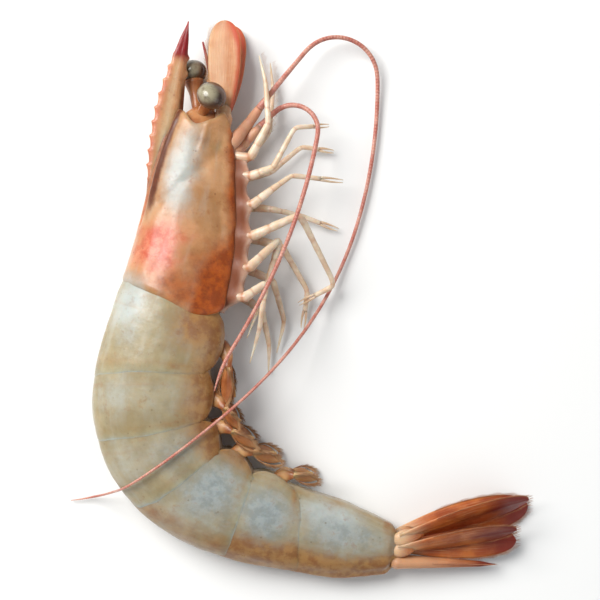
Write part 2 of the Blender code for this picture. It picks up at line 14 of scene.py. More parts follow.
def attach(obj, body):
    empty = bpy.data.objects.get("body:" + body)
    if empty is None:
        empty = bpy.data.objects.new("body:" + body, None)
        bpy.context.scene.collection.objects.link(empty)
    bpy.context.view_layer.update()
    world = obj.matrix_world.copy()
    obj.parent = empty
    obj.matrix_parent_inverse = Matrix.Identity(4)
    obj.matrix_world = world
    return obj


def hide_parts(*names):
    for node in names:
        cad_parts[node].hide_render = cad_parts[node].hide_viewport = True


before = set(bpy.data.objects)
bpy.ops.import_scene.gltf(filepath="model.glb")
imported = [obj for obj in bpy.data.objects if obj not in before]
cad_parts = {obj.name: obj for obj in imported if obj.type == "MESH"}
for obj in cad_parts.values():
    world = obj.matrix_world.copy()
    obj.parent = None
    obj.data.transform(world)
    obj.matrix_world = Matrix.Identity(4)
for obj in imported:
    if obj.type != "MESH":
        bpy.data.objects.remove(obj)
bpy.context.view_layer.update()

MM = 0.001

# The part stands on the middle of its underside, which lies here in the sizes below.
MIDDLE = (-2.24, -0.491)

# Places along the body are measured on its middle line from the rear edge of the head shell.
HEAD_FRONT = -38.5
SEGMENT_LENGTHS = (14.6, 12.7, 11.6, 13.1, 12.5, 21.8)
LAST_SEGMENT = 5
START = (-27.7, 0.0)

# Each station holds its place, depth, width, heading of the middle line and roll.
STATIONS = np.array(
    (
        (-46.0, 8.2, 6.4, -12.0, 14.0),
        (-36.0, 14.0, 10.2, -11.0, 14.0),
        (-20.0, 19.8, 14.4, -5.0, 12.0),
        (0.0, 24.2, 16.8, -14.0, 6.0),
        (14.6, 26.0, 17.2, -15.0, 2.0),
        (27.3, 25.8, 16.8, 12.0, 0.0),
        (38.9, 23.8, 15.6, 46.0, 0.0),
        (52.0, 21.0, 13.6, 68.0, 0.0),
        (64.5, 17.6, 11.2, 74.0, 0.0),
        (75.0, 15.3, 9.0, 78.0, 0.0),
        (86.0, 9.6, 6.6, 82.0, 0.0),
    )
)
DEPTH, WIDTH, HEADING, ROLL = range(1, 5)

# The middle line is traced between these places, in steps of this length.
LINE_REACH = (-60.0, 95.0)
LINE_STEP = 0.2

# How far to the rear each shell edge lies at the back, and to the front at the belly
EDGE_LEANS = (-1.3, 2.8, -0.8, -2.2, 0.3, 2.0, 0.0)

# The section is a rounded oval, slimmer at the back, with a keel there and a groove at the belly.
BACK_POWER = 2 / 2.12
BELLY_POWER = 2 / 2.5
BACK_TAPER = 0.10
KEEL_TURN = 13
GROOVE_TURN = 24

# Bends of the front edge of the head shell: depth along the body, turn and reach
EYE_NOTCH = (2.4, 68.0, 24.0)
CHEEK_POINT = (-1.6, 112.0, 12.0)
LOWER_CORNER = (9.0, 140.0, 9.0)
HEAD_REAR_BEND = 1.6
HEAD_CORNER = 3.4
HEAD_ROUND = 160
HEAD_RINGS = 64

# The free lower edge of the head shell, as a turn from the belly and a reach outwards
HEAD_MARGIN = 45.0
HEAD_FLARE = 0.75
HEAD_GROOVE = 1.2
HEAD_KEEL = 0.7

# Grooves and ridges of the head shell: height outwards, both ends as a place and a turn, and reach.
# A degree of turn counts for TURN_LENGTH millimetres.
TURN_LENGTH = 0.17
HEAD_LINES = (
    (-0.16, (-4, 52), (-20, 58), 1.3),
    (-0.26, (-19, 40), (-27, 88), 1.1),
    (-0.24, (-27, 88), (-33, 112), 1.1),
    (-0.20, (-27, 88), (-16, 118), 1.2),
    (0.22, (-36, 22), (-20, 17), 0.9),
    (-0.35, (-38, 12), (-14, 9), 0.6),
    (-0.30, (-28, 158), (2, 156), 0.9),
    (0.25, (-37, 88), (-31, 84), 0.7),
)

LOBE_DEPTH = 0.12
BELLY_GROOVE = 1.9
GROOVE_SEGMENTS = 7
KEEL_HEIGHT = 0.9
FLAT_DEPTH = 0.45
HEAD_LIFT_START = -12.0
HEAD_LIFT_SLOPE = 0.02
TAIL_LIFT_START = 60.0
TAIL_LIFT = 1.3
GAP = 0.3
ROUND = 96
SEGMENT_RINGS = 30
LAST_SEGMENT_RINGS = 40

# How far a tail shell stands off the body, from under the shell in front to its own rear edge
SHELL_RISE_PLACES = (-0.36, -0.16, -0.08, 0.0, 0.08, 0.22, 0.50, 0.80, 0.94, 1.0)
SHELL_RISES = (-0.8, -0.50, -0.30, -0.15, -0.09, 0.0, 0.11, 0.11, 0.04, 0.0)
SHELL_OVERLAP = 0.7
LOBE_MARGIN = 17.0
LOBE_RISE = 24.0

# Shells fold inwards at their ends. Each row holds a step back and a rise. The fold of a tail
# shell is coloured as the shell is at FOLD_SHARE of its length.
HEAD_FRONT_FOLD = ((3.2, -1.6), (2.0, -0.5))
HEAD_REAR_FOLD = ((0.3, -0.12), (0.5, -0.3), (-1.2, -0.5), (-2.0, -1.3))
FOLD_SHARE = 0.985
SHELL_FOLD = ((0.32, -0.10), (0.60, -0.26), (0.30, -0.42), (-1.4, -0.42), (-2.2, -1.6))

# The snout blade rises from the ridge of the head shell. Each row holds how far ahead of the
# front of the shell it lies, and how far its upper and its lower edge are above the middle line.
SNOUT_ROWS = (
    (-25.0, 8.6, 6.0),
    (-20.0, 9.1, 6.4),
    (-15.0, 9.7, 6.4),
    (-10.0, 10.3, 6.2),
    (-5.0, 10.7, 5.6),
    (0.0, 10.7, 5.1),
    (4.0, 10.3, 5.6),
    (8.0, 9.7, 6.1),
    (12.0, 9.2, 6.5),
    (15.0, 8.6, 6.9),
    (17.8, 7.8, 7.5),
)
SNOUT_THICKNESS = 2.2
SNOUT_TIP_THICKNESS = 0.7
SNOUT_RINGS = 200
TOOTH_HEIGHT = 0.56
TOOTH_LENGTH = 3.0
TOOTH_PLACES = (-15.0, 11.0)

# A spot ahead of the head shell: how far forward, how far to the back and how far to the right
EYE_WIDTH = 6.2
EYE_LENGTH = 5.0
STALK_WIDTH = 2.6
STALK_SPOT = (-0.6, 1.5, 1.0)
EYE_SPOTS = {"eye_right": (3.7, 0.8, 5.5), "eye_left": (8.6, 4.2, -3.7)}
SHEEN_WAY = (-0.22, 0.30, 0.93)
SCALES = (
    ("right", (1.0, -3.0, 1.95), 89.0, 0.0, (1.0, 0.0, 0.0)),
    ("left", (1.0, -4.0, -3.2), 84.0, -0.06, (1.0, 0.0, -0.15)),
)
SCALE_LENGTH = 19.4
SCALE_WIDTH = 6.8
SCALE_SINK = 0.8
SCALE_THICKNESS = 1.0
SCALE_CAMBER = 0.2
SCALE_RIBS = ((0.75, 0.22), (0.1, 0.12))
ANTENNULES = (("right", (0.9, -0.4, 0.3), 89.0, 15.0), ("left", (0.9, -0.7, -1.75), 77.0, 13.0))
ANTENNULE_SINK = 1.7
ANTENNULE_SAG = 1.5
WHIPS_START = 0.58

TELSON_LENGTH = 21.0
TELSON_WIDTH = 4.6
TELSON_DEPTH = 3.2
TELSON_TURN = math.radians(-2)
TELSON_SIDES = 32
TELSON_HAIRS = 26
FAN_OUTER = (28.0, 7.8)
FAN_INNER = (25.0, 6.4)
FAN_THICKNESS = 1.0
FAN_CAMBER = 0.25
LEAF_RINGS = 40
LEAF_SIDES = 17
LEAF_EDGE = 0.03
OUTER_RIBS = ((0.1, 0.30), (0.42, 0.18))
INNER_RIBS = ((0.0, 0.30),)

# Each blade holds its heading, its root towards the back and the right, the height of its tip,
# its length and width, the way across it, its redness, and the length and width of its joint.
FAN_BLADES = {
    "uropod_outer_right": (17.0, -2.2, 1.9, 7.0, FAN_OUTER, (0.0, 0.62, 0.78), 1.0, 7.6, 3.6),
    "uropod_inner_right": (10.0, 0.3, 1.6, 7.0, FAN_INNER, (0.0, 0.62, 0.78), 0.85, 5.6, 3.0),
    "uropod_inner_left": (3.0, 0.1, -0.9, 2.9, FAN_INNER, (0.0, 0.98, -0.14), 0.85, 5.0, 2.7),
    "uropod_outer_left": (12.0, -2.5, -2.3, 0.8, FAN_OUTER, (0.0, 1.0, 0.0), 1.0, 6.0, 3.0),
}

# A long feeler starts at a spot with a heading and bends in arcs, each a turn and a length. Its
# heights are given along it, and its first stretch sinks into the head.
RIGHT_FEELER = (-15.3, 33.4, 53.0)
RIGHT_BENDS = ((-2, 23.3), (-140, 20.8), (-18, 31.8), (-24, 30.9), (-8, 15.0), (-8, 26.6), (-28, 15.0))
RIGHT_HEIGHTS = (
    (0, 12, 30, 48, 90, 99, 107, 113, 122, 148, 158),
    (7.6, 8.4, 4.0, 1.2, 1.2, 6.5, 13.8, 15.8, 16.4, 5.0, 0.7),
)
LEFT_FEELER = (-16.0, 29.8, 50.0)
LEFT_BENDS = ((-6, 12.0), (-144, 13.8), (-14, 27.7), (-8, 20.0), (18, 9.4))
LEFT_HEIGHTS = ((0, 12, 26, 38, 60, 72, 83), (3.4, 6.4, 12.0, 14.8, 15.0, 15.4, 15.6))
LONG_FEELERS = (
    ("right", RIGHT_FEELER, RIGHT_BENDS, RIGHT_HEIGHTS, 4.6),
    ("left", LEFT_FEELER, LEFT_BENDS, LEFT_HEIGHTS, 4.4),
)

# The room a long feeler needs where it lies over the body, as places along it and widths
FEELER_ROOM = ((0, 5, 16), (3.0, 1.9, 1.4))
FEELER_TIP_WIDTH = 0.7

# The flank that it lies on is searched between these places, and has this shape and clearance.
FLANK_REACH = (-30.0, 84.0)
FLANK_COUNT = 115
FLANK_ROOM = 0.4
FLANK_POWER = 2.4

# The thick base of a long feeler has joints, and ends where the thin whip begins.
FEELER_JOINTS = (5.6, 8.4, 11.6)
JOINT_DEPTH = 0.14
FEELER_PLACES = (0, 3.0, 6.0, 9.0, 12.5, 15, 24, 170)
FEELER_WIDTHS = (2.6, 2.9, 2.6, 2.2, 1.7, 1.25, 1.05, 0.5)
STOUT_END = 12.5

PADDLE_LENGTHS = (11.8, 8.0, 9.0, 9.0, 7.5)
PADDLE_OPENINGS = (16.0, 40.0, 32.0, 20.0, 14.0)
PADDLE_WIDTH = 4.2
PADDLE_STEPS = 7
STEM_WIDTHS = ((0, 0.30, 0.55, 0.78, 0.92, 1), (3.0, 3.2, 2.7, 2.0, 1.6, 0.9))

# Each leaf of a swimming leg holds its lean, size, tilt and warmth.
PADDLE_LEAVES = ((0.05, 1.08, 0.70, 0.0), (-0.18, 0.85, 0.30, 0.25))
LOWEST_LIMB = 0.15
LOWEST_HAIR = 0.05
HAIR_WIDTH = 0.13
MOUTH_HAIRS = 46
MOUTH_HAIR_WIDTH = 0.10

# The breast is the band under the head shell that carries the legs
BREAST_START = -30.2
BREAST_END = 0.8
BREAST_DEPTH = 1.9
BREAST_TURNS = (123.75, 213.75)
BREAST_CLEARANCE = GAP + 0.4
BREAST_SIDES = 34
BREAST_RINGS = 110
LEG_CLEARANCE = BREAST_CLEARANCE + BREAST_DEPTH + GAP
LEG_STUB = 0.5
LEG_SINK = 5.0

# How far round the breast the legs of the right side (1) and of the left side (-1) start
LEG_TURNS = {1: 144.0, -1: 200.0}

# Each leg holds its name, side, place on the body, width at the top, and then the length,
# direction in plan and end height of every link.
WALKING_LEGS = (
    ("maxilliped", 1, -31.0, 2.0, ((8.0, 62.0, 11.0), (9.0, 94.0, 9.5), (6.0, 104.0, 8.0))),
    ("maxilliped", -1, -31.0, 2.0, ((8.0, 48.0, 3.2), (9.0, 84.0, 2.2), (6.0, 96.0, 1.6))),
    ("leg_1", 1, -27.0, 2.0, ((5.0, 20.0, 11.5), (9.4, 62.0, 11.0), (8.0, 6.0, 7.5))),
    ("leg_1", -1, -27.0, 2.0, ((6.0, 12.0, 3.0), (8.5, 40.0, 2.2), (7.0, -8.0, 1.2))),
    ("leg_2", 1, -20.5, 2.1, ((5.4, 38.0, 11.0), (5.0, 36.0, 10.0), (11.5, -5.0, 6.0))),
    ("leg_2", -1, -20.5, 2.1, ((6.0, -6.0, 3.4), (6.0, -12.0, 2.6), (9.0, -20.0, 1.2))),
    ("leg_3", 1, -14.5, 2.2, ((11.0, 24.0, 12.5), (17.6, -63.0, 5.6), (9.2, -153.0, 2.4))),
    ("leg_3", -1, -14.5, 2.2, ((8.0, -14.0, 3.4), (11.0, -60.0, 2.2), (8.0, -98.0, 1.2))),
    ("leg_4", 1, -8.5, 2.2, ((9.5, 44.0, 9.6), (12.5, -106.0, 8.2), (9.5, -112.0, 6.6))),
    ("leg_4", -1, -8.5, 2.2, ((6.5, -24.0, 3.2), (9.0, -74.0, 2.0), (7.0, -104.0, 1.2))),
    ("leg_5", 1, -3.0, 2.2, ((5.6, 34.0, 12.2), (9.6, -98.0, 11.4), (7.4, -106.0, 10.6))),
    ("leg_5", -1, -3.0, 2.2, ((5.0, -36.0, 3.2), (7.5, -78.0, 2.0), (6.0, -92.0, 1.2))),
)
CLAWED = ("leg_1", "leg_2", "leg_3")

# Where the small joints lie between the corners of a leg
ISCHIUM_SHARE = 0.36
CARPUS_SHARE = 0.34
PALM_SHARE = 0.55

# Shares of a leg's width at the start and the end of each of its joints
LINK_SPANS = ((0.85, 1.00), (1.00, 0.90), (0.86, 0.72), (0.68, 0.60), (0.58, 0.50))
PALM_SPAN = (0.52, 0.50)
TIP_SPAN = (0.46, 0.10)
LINK_SHAPE = ((0, 0.08, 0.2, 0.5, 0.85, 0.94, 1.0), (0.90, 0.97, 1.02, 0.98, 0.95, 0.99, 0.90))

# Colours are as seen, from 0 to 255. A shell has its name, the seed of its clouds, then two base
# colours, two warm ones that also paint shade along the head's lower edge and, in part, towards
# the belly, a pale one that also paints highlights, two of its coral or grey patch (the grey partly
# a painted cool sheen), a dark one that on the head also paints shade, and a painted rim highlight.
SHELL_LOOKS = {
    "head": ("head_shell", 0.0, (190, 144, 102), (168, 122, 78), (164, 78, 14), (130, 56, 8),
             (166, 168, 162), (202, 118, 88), (190, 88, 62), (92, 44, 20), (204, 176, 146)),
    "snout": ("snout", 5.0, (186, 138, 96), (170, 118, 76), (112, 60, 30), (86, 42, 20),
              (196, 172, 136), (192, 120, 96), (176, 92, 72), (126, 16, 20), (204, 176, 146)),
    "body": ("body_shell", 12.0, (165, 150, 116), (145, 129, 93), (166, 122, 70), (142, 94, 50),
             (180, 184, 178), (140, 147, 145), (158, 165, 164), (104, 78, 46), (176, 174, 156)),
}

# A blade has two base colours, the colour of its tip and a pale one, which on the fan is partly a painted
# highlight.
BLADE_LOOKS = {
    "fan": ("tail_fan", (182, 102, 44), (150, 70, 22), (108, 28, 10), (214, 174, 136)),
    "scale": ("antennal_scale", (202, 150, 108), (186, 124, 80), (186, 84, 60), (214, 182, 150)),
}

# A limb has two base colours, the colour of its joints, how deep light goes in, and for the
# feelers how close their rings are.
LIMB_LOOKS = {
    "leg": ("walking_leg", (222, 206, 184), (206, 180, 152), (186, 132, 98), 1.6),
    "breast": ("breast", (214, 180, 158), (196, 146, 120), (122, 66, 38), 1.8),
    "feeler": ("feeler", (194, 142, 126), (176, 106, 92), (204, 170, 154), 1.2, 9.0),
    "paddle": ("swimming_leg", (140, 76, 38), (166, 102, 58), (196, 158, 110), 1.5),
    "flesh": ("inner_flesh", (186, 130, 84), (158, 96, 54), (124, 62, 28), 2.0),
}
HAIR_LOOKS = {
    "hair": ("bristle", (176, 126, 84), (146, 90, 52)),
    "red_hair": ("tail_bristle", (132, 62, 36), (164, 96, 60)),
}
LIMB_SHADE = (90, 50, 30)
EYE_COLOURS = ((46, 24, 12), (84, 48, 22))
EYE_SHEEN = (154, 146, 120)
FLOOR_COLOURS = ((231.1, 231.1, 229.8), (234.9, 234.9, 233.7))

# Studio, in metres and watts
FLOOR_REACH = 1.2
FLOOR_HEIGHT = -0.0001
CAMERA_HEIGHT = 0.355
CAMERA_LENS = 100.0
LIGHTS = {
    "window": ((-0.38, 0.32, 0.54), 0.50, 7.4, (1.0, 0.99, 0.97)),
    "fill": ((0.50, -0.30, 0.45), 0.60, 0.8, (0.95, 0.98, 1.0)),
}
ROOM_COLOUR = (0.93, 0.96, 1.0, 1.0)
ROOM_LIGHT = 0.37

# Unevenness is read round a cylinder of this radius.
BUMP_RADIUS = 10.0

# Patches are spread over the section by its up, of which 1 counts for this turn.
PATCH_TURN = 57.3

UP = np.array((0.0, 0.0, 1.0))
NO_TINT = (0.0, 0.0, 0.0, 0.0)


# Small sums


def fade(value, low, high):
    """Goes smoothly from 0 at low to 1 at high."""
    t = np.clip((np.asarray(value, float) - low) / (high - low), 0, 1)
    return t * t * (3 - 2 * t)


def hump(value, middle, reach):
    return np.exp(-(((np.asarray(value, float) - middle) / reach) ** 2))


def most(*amounts):
    """The largest of several amounts at each point."""
    return np.max(np.broadcast_arrays(*amounts), axis=0)


def unit(vector):
    vector = np.asarray(vector, float)
    return vector / np.linalg.norm(vector, axis=-1, keepdims=True)


def level_way(angle):
    """The level direction with an angle in radians."""
    return np.array((math.cos(angle), math.sin(angle), 0.0))


def round_turns(count):
    return np.linspace(0, 2 * math.pi, count, endpoint=False)


def from_back(turn):
    return np.abs((turn + 180) % 360 - 180)


def from_belly(turn):
    return np.abs(turn % 360 - 180)


def bumps(place, turn, size, seed):
    """Smooth unevenness between about -1 and 1, in patches of a size in millimetres."""
    place, angle = np.broadcast_arrays(place, np.radians(turn))
    across = BUMP_RADIUS / size
    spots = np.stack([place / size, np.cos(angle) * across + seed, np.sin(angle) * across], axis=-1)
    return np.reshape([noise.noise(Vector(spot)) for spot in spots.reshape(-1, 3)], place.shape)


def patches(place, up, size, seed):
    """The same unevenness, spread from the belly to the back by up, from -1 to 1."""
    return bumps(place, PATCH_TURN * up, size, seed)


def spots_of(along, across, high=0.0):
    """The piece's own coordinates: along it, and two directions round it."""
    return np.stack(np.broadcast_arrays(along, across, high), axis=-1)


def tints_of(warm=0.0, pale=0.0, coral=0.0, dark=0.0):
    """Four painted amounts of each point, between 0 and 1."""
    return np.clip(np.stack(np.broadcast_arrays(warm, pale, coral, dark), axis=-1), 0, 1)


# The middle line of the body


def curve_through(column, at):
    """A smooth curve through one column of the stations, read at many places."""
    places, values = STATIONS[:, 0], STATIONS[:, column]
    slopes = np.empty(len(values))
    slopes[1:-1] = (values[2:] - values[:-2]) / (places[2:] - places[:-2])
    slopes[[0, -1]] = (values[[1, -1]] - values[[0, -2]]) / (places[[1, -1]] - places[[0, -2]])
    at = np.clip(at, places[0], places[-1])
    index = np.clip(np.searchsorted(places, at, side="right") - 1, 0, len(places) - 2)
    span = places[index + 1] - places[index]
    t = (at - places[index]) / span
    start = values[index] * (2 * t**3 - 3 * t**2 + 1) + slopes[index] * span * (t**3 - 2 * t**2 + t)
    end = values[index + 1] * (3 * t**2 - 2 * t**3) + slopes[index + 1] * span * (t**3 - t**2)
    return start + end


def heading_at(place):
    return np.radians(np.interp(place, STATIONS[:, 0], STATIONS[:, HEADING]))


def trace_line():
    """Adds up short steps along the heading, both ways from the rear edge of the head shell."""
    places = np.arange(*LINE_REACH, LINE_STEP)
    angles = heading_at(places)
    steps = np.diff(places)
    mids = (angles[1:] + angles[:-1]) / 2
    x = np.concatenate([[0], np.cumsum(np.sin(mids) * steps)])
    y = np.concatenate([[0], np.cumsum(-np.cos(mids) * steps)])
    x += START[0] - MIDDLE[0] - np.interp(0, places, x)
    y += START[1] - MIDDLE[1] - np.interp(0, places, y)
    return places, x, y


LINE_PLACES, LINE_X, LINE_Y = trace_line()


def lying_height(place):
    roll = np.radians(curve_through(ROLL, place))
    half_depth = curve_through(DEPTH, place) / 2
    half_width = curve_through(WIDTH, place) / 2
    return np.hypot(half_width * np.cos(roll), half_depth * np.sin(roll)) - FLAT_DEPTH


def centre_at(place):
    place = np.asarray(place, float)
    lifted = lying_height(HEAD_LIFT_START) + HEAD_LIFT_SLOPE * (place - HEAD_LIFT_START)
    height = np.where(place < HEAD_LIFT_START, lifted, lying_height(place))
    tail = np.clip((place - TAIL_LIFT_START) / (STATIONS[-1, 0] - TAIL_LIFT_START), 0, None)
    height = height + TAIL_LIFT * tail**1.5
    x = np.interp(place, LINE_PLACES, LINE_X)
    y = np.interp(place, LINE_PLACES, LINE_Y)
    return np.stack([x, y, height], axis=-1)


def directions_at(place):
    """Unit vectors towards the tail, the back and the right side."""
    place = np.asarray(place, float)
    angle = heading_at(place)
    roll = np.radians(curve_through(ROLL, place))
    zero = np.zeros_like(angle)
    tail = np.stack([np.sin(angle), -np.cos(angle), zero], axis=-1)
    level = np.stack([-np.cos(angle), -np.sin(angle), zero], axis=-1)
    cos, sin = np.cos(roll)[..., None], np.sin(roll)[..., None]
    return tail, level * cos + UP * sin, UP * cos - level * sin


def section(turn, depth, width, lobe, keel, groove):
    """Offsets towards the back and the right side. Turn is 0 at the back and 180 at the belly."""
    angle = np.radians(turn)
    c, s = np.cos(angle), np.sin(angle)
    power = np.where(c > 0, BACK_POWER, BELLY_POWER)
    up = np.sign(c) * np.abs(c) ** power * depth / 2
    side = np.sign(s) * np.abs(s) ** power * width / 2
    side = side * (1 - BACK_TAPER * np.clip(c, 0, None) ** 1.5)
    up = np.where(c < 0, up * (1 + lobe * np.abs(c)), up)
    up = up + keel * hump(from_back(turn), 0, KEEL_TURN) + groove * hump(from_belly(turn), 0, GROOVE_TURN)
    return up, side


def body_points(place, turn, grow, groove, lobe=0.0, keel=0.0):
    """Points on the body's surface, grown outwards by so many millimetres."""
    place, turn = np.broadcast_arrays(np.asarray(place, float), np.asarray(turn, float))
    _, back, right = directions_at(place)
    depth = curve_through(DEPTH, place) + 2 * grow
    width = curve_through(WIDTH, place) + 2 * grow
    up, side = section(turn, depth, width, lobe, keel, groove)
    points = centre_at(place) + back * up[..., None] + right * side[..., None]
    points[..., 2] = np.maximum(points[..., 2], 0.0)
    return points


def body_spots(place, turn):
    return spots_of(place, np.cos(np.radians(turn)), np.sin(np.radians(turn)))


def head_spot(forward, up, side):
    """A point ahead of the head shell, from its front along its middle line."""
    tail, back, right = directions_at(HEAD_FRONT)
    return centre_at(HEAD_FRONT) - tail * forward + back * up + right * side


def edge_shift(lean, turn):
    return lean * np.cos(np.radians(turn))


def segment_places():
    return np.concatenate([[0.0], np.cumsum(SEGMENT_LENGTHS)])


def belly_groove(number):
    """The groove along the belly gets shallower with each segment."""
    return BELLY_GROOVE * (1 - number / GROOVE_SEGMENTS)


# Meshes


class Bag:
    """Collects closed bodies made of rings, and turns them into one mesh object."""

    def __init__(self):
        self.points, self.spots, self.tints, self.faces, self.looks = [], [], [], [], []
        self.count = 0

    def add_points(self, points, spots, tints):
        start = self.count
        self.points.append(np.reshape(points, (-1, 3)))
        self.spots.append(np.reshape(spots, (-1, 3)))
        self.tints.append(np.reshape(tints, (-1, 4)))
        self.count += len(self.points[-1])
        return start

    def add_rings(self, rings, spots=(0.0, 0.0, 0.0), tints=NO_TINT, look=0):
        """Rings is an array of rings by points by 3. The first and the last ring are closed."""
        count, sides = rings.shape[:2]
        spots = np.broadcast_to(spots, rings.shape)
        tints = np.broadcast_to(tints, (count, sides, 4))
        start = self.add_points(rings, spots, tints)
        for i in range(count - 1):
            a, b = start + i * sides, start + (i + 1) * sides
            for j in range(sides):
                k = (j + 1) % sides
                self.faces.append((a + j, b + j, b + k, a + k))
        for row in (0, count - 1):
            middle = self.add_points(*(values[row].mean(axis=0) for values in (rings, spots, tints)))
            for j in range(sides):
                first = start + row * sides
                corners = (first + j, first + (j + 1) % sides, middle)
                self.faces.append(corners if row == 0 else corners[::-1])
        self.looks += [look] * (sides * (count + 1))

    def make(self, name, materials, nodes, slot):
        mesh = bpy.data.meshes.new(name)
        mesh.from_pydata([tuple(point) for point in np.concatenate(self.points) * MM], [], self.faces)
        mesh.polygons.foreach_set("material_index", self.looks)
        mesh.polygons.foreach_set("use_smooth", [True] * len(self.faces))
        spots = mesh.attributes.new("spot", "FLOAT_VECTOR", "POINT")
        spots.data.foreach_set("vector", np.concatenate(self.spots).ravel())
        tints = mesh.attributes.new("tint", "FLOAT_COLOR", "POINT")
        tints.data.foreach_set("color", np.concatenate(self.tints).ravel())
        for material in materials:
            mesh.materials.append(material)
        mesh.validate()
        mesh.update()
        piece = bpy.data.objects.new(name, mesh)
        bpy.context.scene.collection.objects.link(piece)
        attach(piece, "root")
        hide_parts(*nodes)


def distances_along(line):
    return np.concatenate([[0], np.cumsum(np.linalg.norm(np.diff(line, axis=0), axis=1))])


def resample(line, count):
    lengths = distances_along(line)
    at = np.linspace(0, lengths[-1], count)
    return np.stack([np.interp(at, lengths, line[:, i]) for i in range(3)], axis=1)


def smooth_line(line, rounds=2):
    """Rounds the corners of a line and keeps its ends."""
    for _ in range(rounds):
        cut = np.empty((2 * len(line) - 2, 3))
        cut[0::2] = line[:-1] * 0.75 + line[1:] * 0.25
        cut[1::2] = line[:-1] * 0.25 + line[1:] * 0.75
        cut[0], cut[-1] = line[0], line[-1]
        line = cut
    return line


def add_tube(bag, line, widths, sides, flatten=1.0, tints=NO_TINT, look=0, lowest=LOWEST_LIMB):
    """A round limb along a line, with a full width at each of its points."""
    tangents = unit(np.gradient(line, axis=0))
    side = unit(np.cross(tangents, UP))
    top = np.cross(side, tangents) * flatten
    turn = round_turns(sides)
    cos, sin = np.cos(turn)[None, :, None], np.sin(turn)[None, :, None]
    reach = np.asarray(widths)[:, None, None] / 2
    rings = line[:, None] + reach * (side[:, None] * cos + top[:, None] * sin)
    rings[..., 2] = np.maximum(rings[..., 2], lowest)
    spots = spots_of(distances_along(line)[:, None], np.cos(turn), np.sin(turn))
    bag.add_rings(rings, spots, np.reshape(tints, (-1, 1, 4)), look)


def add_hair(bag, start, way, length, width, bend):
    """One fine bristle with three sides and a slight bend, in the second look of its piece."""
    t = np.array((0.0, 0.4, 0.75, 1.0))[:, None]
    line = start + unit(way) * length * t + bend * t * t * length
    add_tube(bag, line, width * np.array((1, 0.85, 0.6, 0.2)), 3, look=1, lowest=LOWEST_HAIR)


# Materials


def paint(red, green, blue):
    """A colour as seen, from 0 to 255, made linear."""
    shares = [value / 255 for value in (red, green, blue)]
    return tuple(v / 12.92 if v < 0.04045 else ((v + 0.055) / 1.055) ** 2.4 for v in shares)


class Look:
    """Builds one node material round a Principled shader."""

    def __init__(self, name):
        self.material = bpy.data.materials.new(name)
        self.material.use_nodes = True
        self.tree = self.material.node_tree
        self.shader = self.tree.nodes["Principled BSDF"]
        self.places = self.add("ShaderNodeTexCoord")["Object"]
        self.spot = self.add("ShaderNodeAttribute", {"attribute_name": "spot"})["Vector"]

    def put(self, socket, value):
        if isinstance(value, bpy.types.NodeSocket):
            self.tree.links.new(value, socket)
        elif socket.type == "RGBA":
            socket.default_value = (*paint(*value), 1.0)
        else:
            socket.default_value = value

    def add(self, kind, settings=None, inputs=None):
        """Adds a node and gives its outputs. Its inputs are told by name or by number."""
        node = self.tree.nodes.new(kind)
        for key, value in (settings or {}).items():
            setattr(node, key, value)
        for key, value in (inputs or {}).items():
            self.put(node.inputs[key], value)
        return node.outputs

    def work_out(self, operation, a, b):
        return self.add("ShaderNodeMath", {"operation": operation}, {0: a, 1: b})[0]

    def span(self, value, low, high, out_low=0.0, out_high=1.0):
        values = dict(enumerate((value, low, high, out_low, out_high)))
        return self.add("ShaderNodeMapRange", {"interpolation_type": "SMOOTHSTEP"}, values)[0]

    def mix(self, amount, first, second):
        return self.add("ShaderNodeMix", {"data_type": "RGBA"}, {0: amount, 6: first, 7: second})[2]

    def blend(self, colour, other, value, low, high, share=1.0):
        """Goes over to another colour, up to a share, as a value goes from low to high."""
        return self.mix(self.span(value, low, high, 0.0, share), colour, other)

    def noise(self, scale, detail=3.0, rough=0.55, vector=None):
        inputs = {"Vector": vector or self.places, "Scale": scale, "Detail": detail, "Roughness": rough}
        return self.add("ShaderNodeTexNoise", None, inputs)["Fac"]

    def grain(self, factors, detail=3.0):
        """Noise in the piece's own coordinates, stretched by three factors."""
        inputs = {0: self.spot, 1: factors}
        stretched = self.add("ShaderNodeVectorMath", {"operation": "MULTIPLY"}, inputs)[0]
        return self.noise(1.0, detail, vector=stretched)

    def cells(self, scale):
        return self.add("ShaderNodeTexVoronoi", None, {"Vector": self.places, "Scale": scale})["Distance"]

    def tints(self):
        """Four painted amounts of the piece."""
        tint = self.add("ShaderNodeAttribute", {"attribute_name": "tint"})
        parts = self.add("ShaderNodeSeparateColor", None, {"Color": tint["Color"]})
        return parts[0], parts[1], parts[2], tint["Alpha"]

    def bump(self, height, strength, distance, normal=None):
        inputs = {"Height": height, "Strength": strength, "Distance": distance}
        if normal:
            inputs["Normal"] = normal
        return self.add("ShaderNodeBump", None, inputs)["Normal"]

    def finish(self, colour, gloss, rough, normal, values):
        """Rough holds the lowest and the highest roughness, and values the shader's other ones."""
        self.put(self.shader.inputs["Base Color"], colour)
        self.put(self.shader.inputs["Roughness"], self.span(gloss, 0.3, 0.7, *rough))
        self.put(self.shader.inputs["Normal"], normal)
        for key, value in values.items():
            self.shader.inputs[key].default_value = value
        return self.material


def wet_flesh(scatter, weight, coat=0.35):
    """Shader values for thin wet shell over raw flesh. Scatter is a depth in millimetres."""
    return {
        "Subsurface Weight": weight,
        "Subsurface Radius": (1.0, 0.55, 0.32),
        "Subsurface Scale": scatter * MM,
        "Coat Weight": coat,
        "Coat Roughness": 0.18,
        "Coat IOR": 1.33,
        "IOR": 1.40,
    }


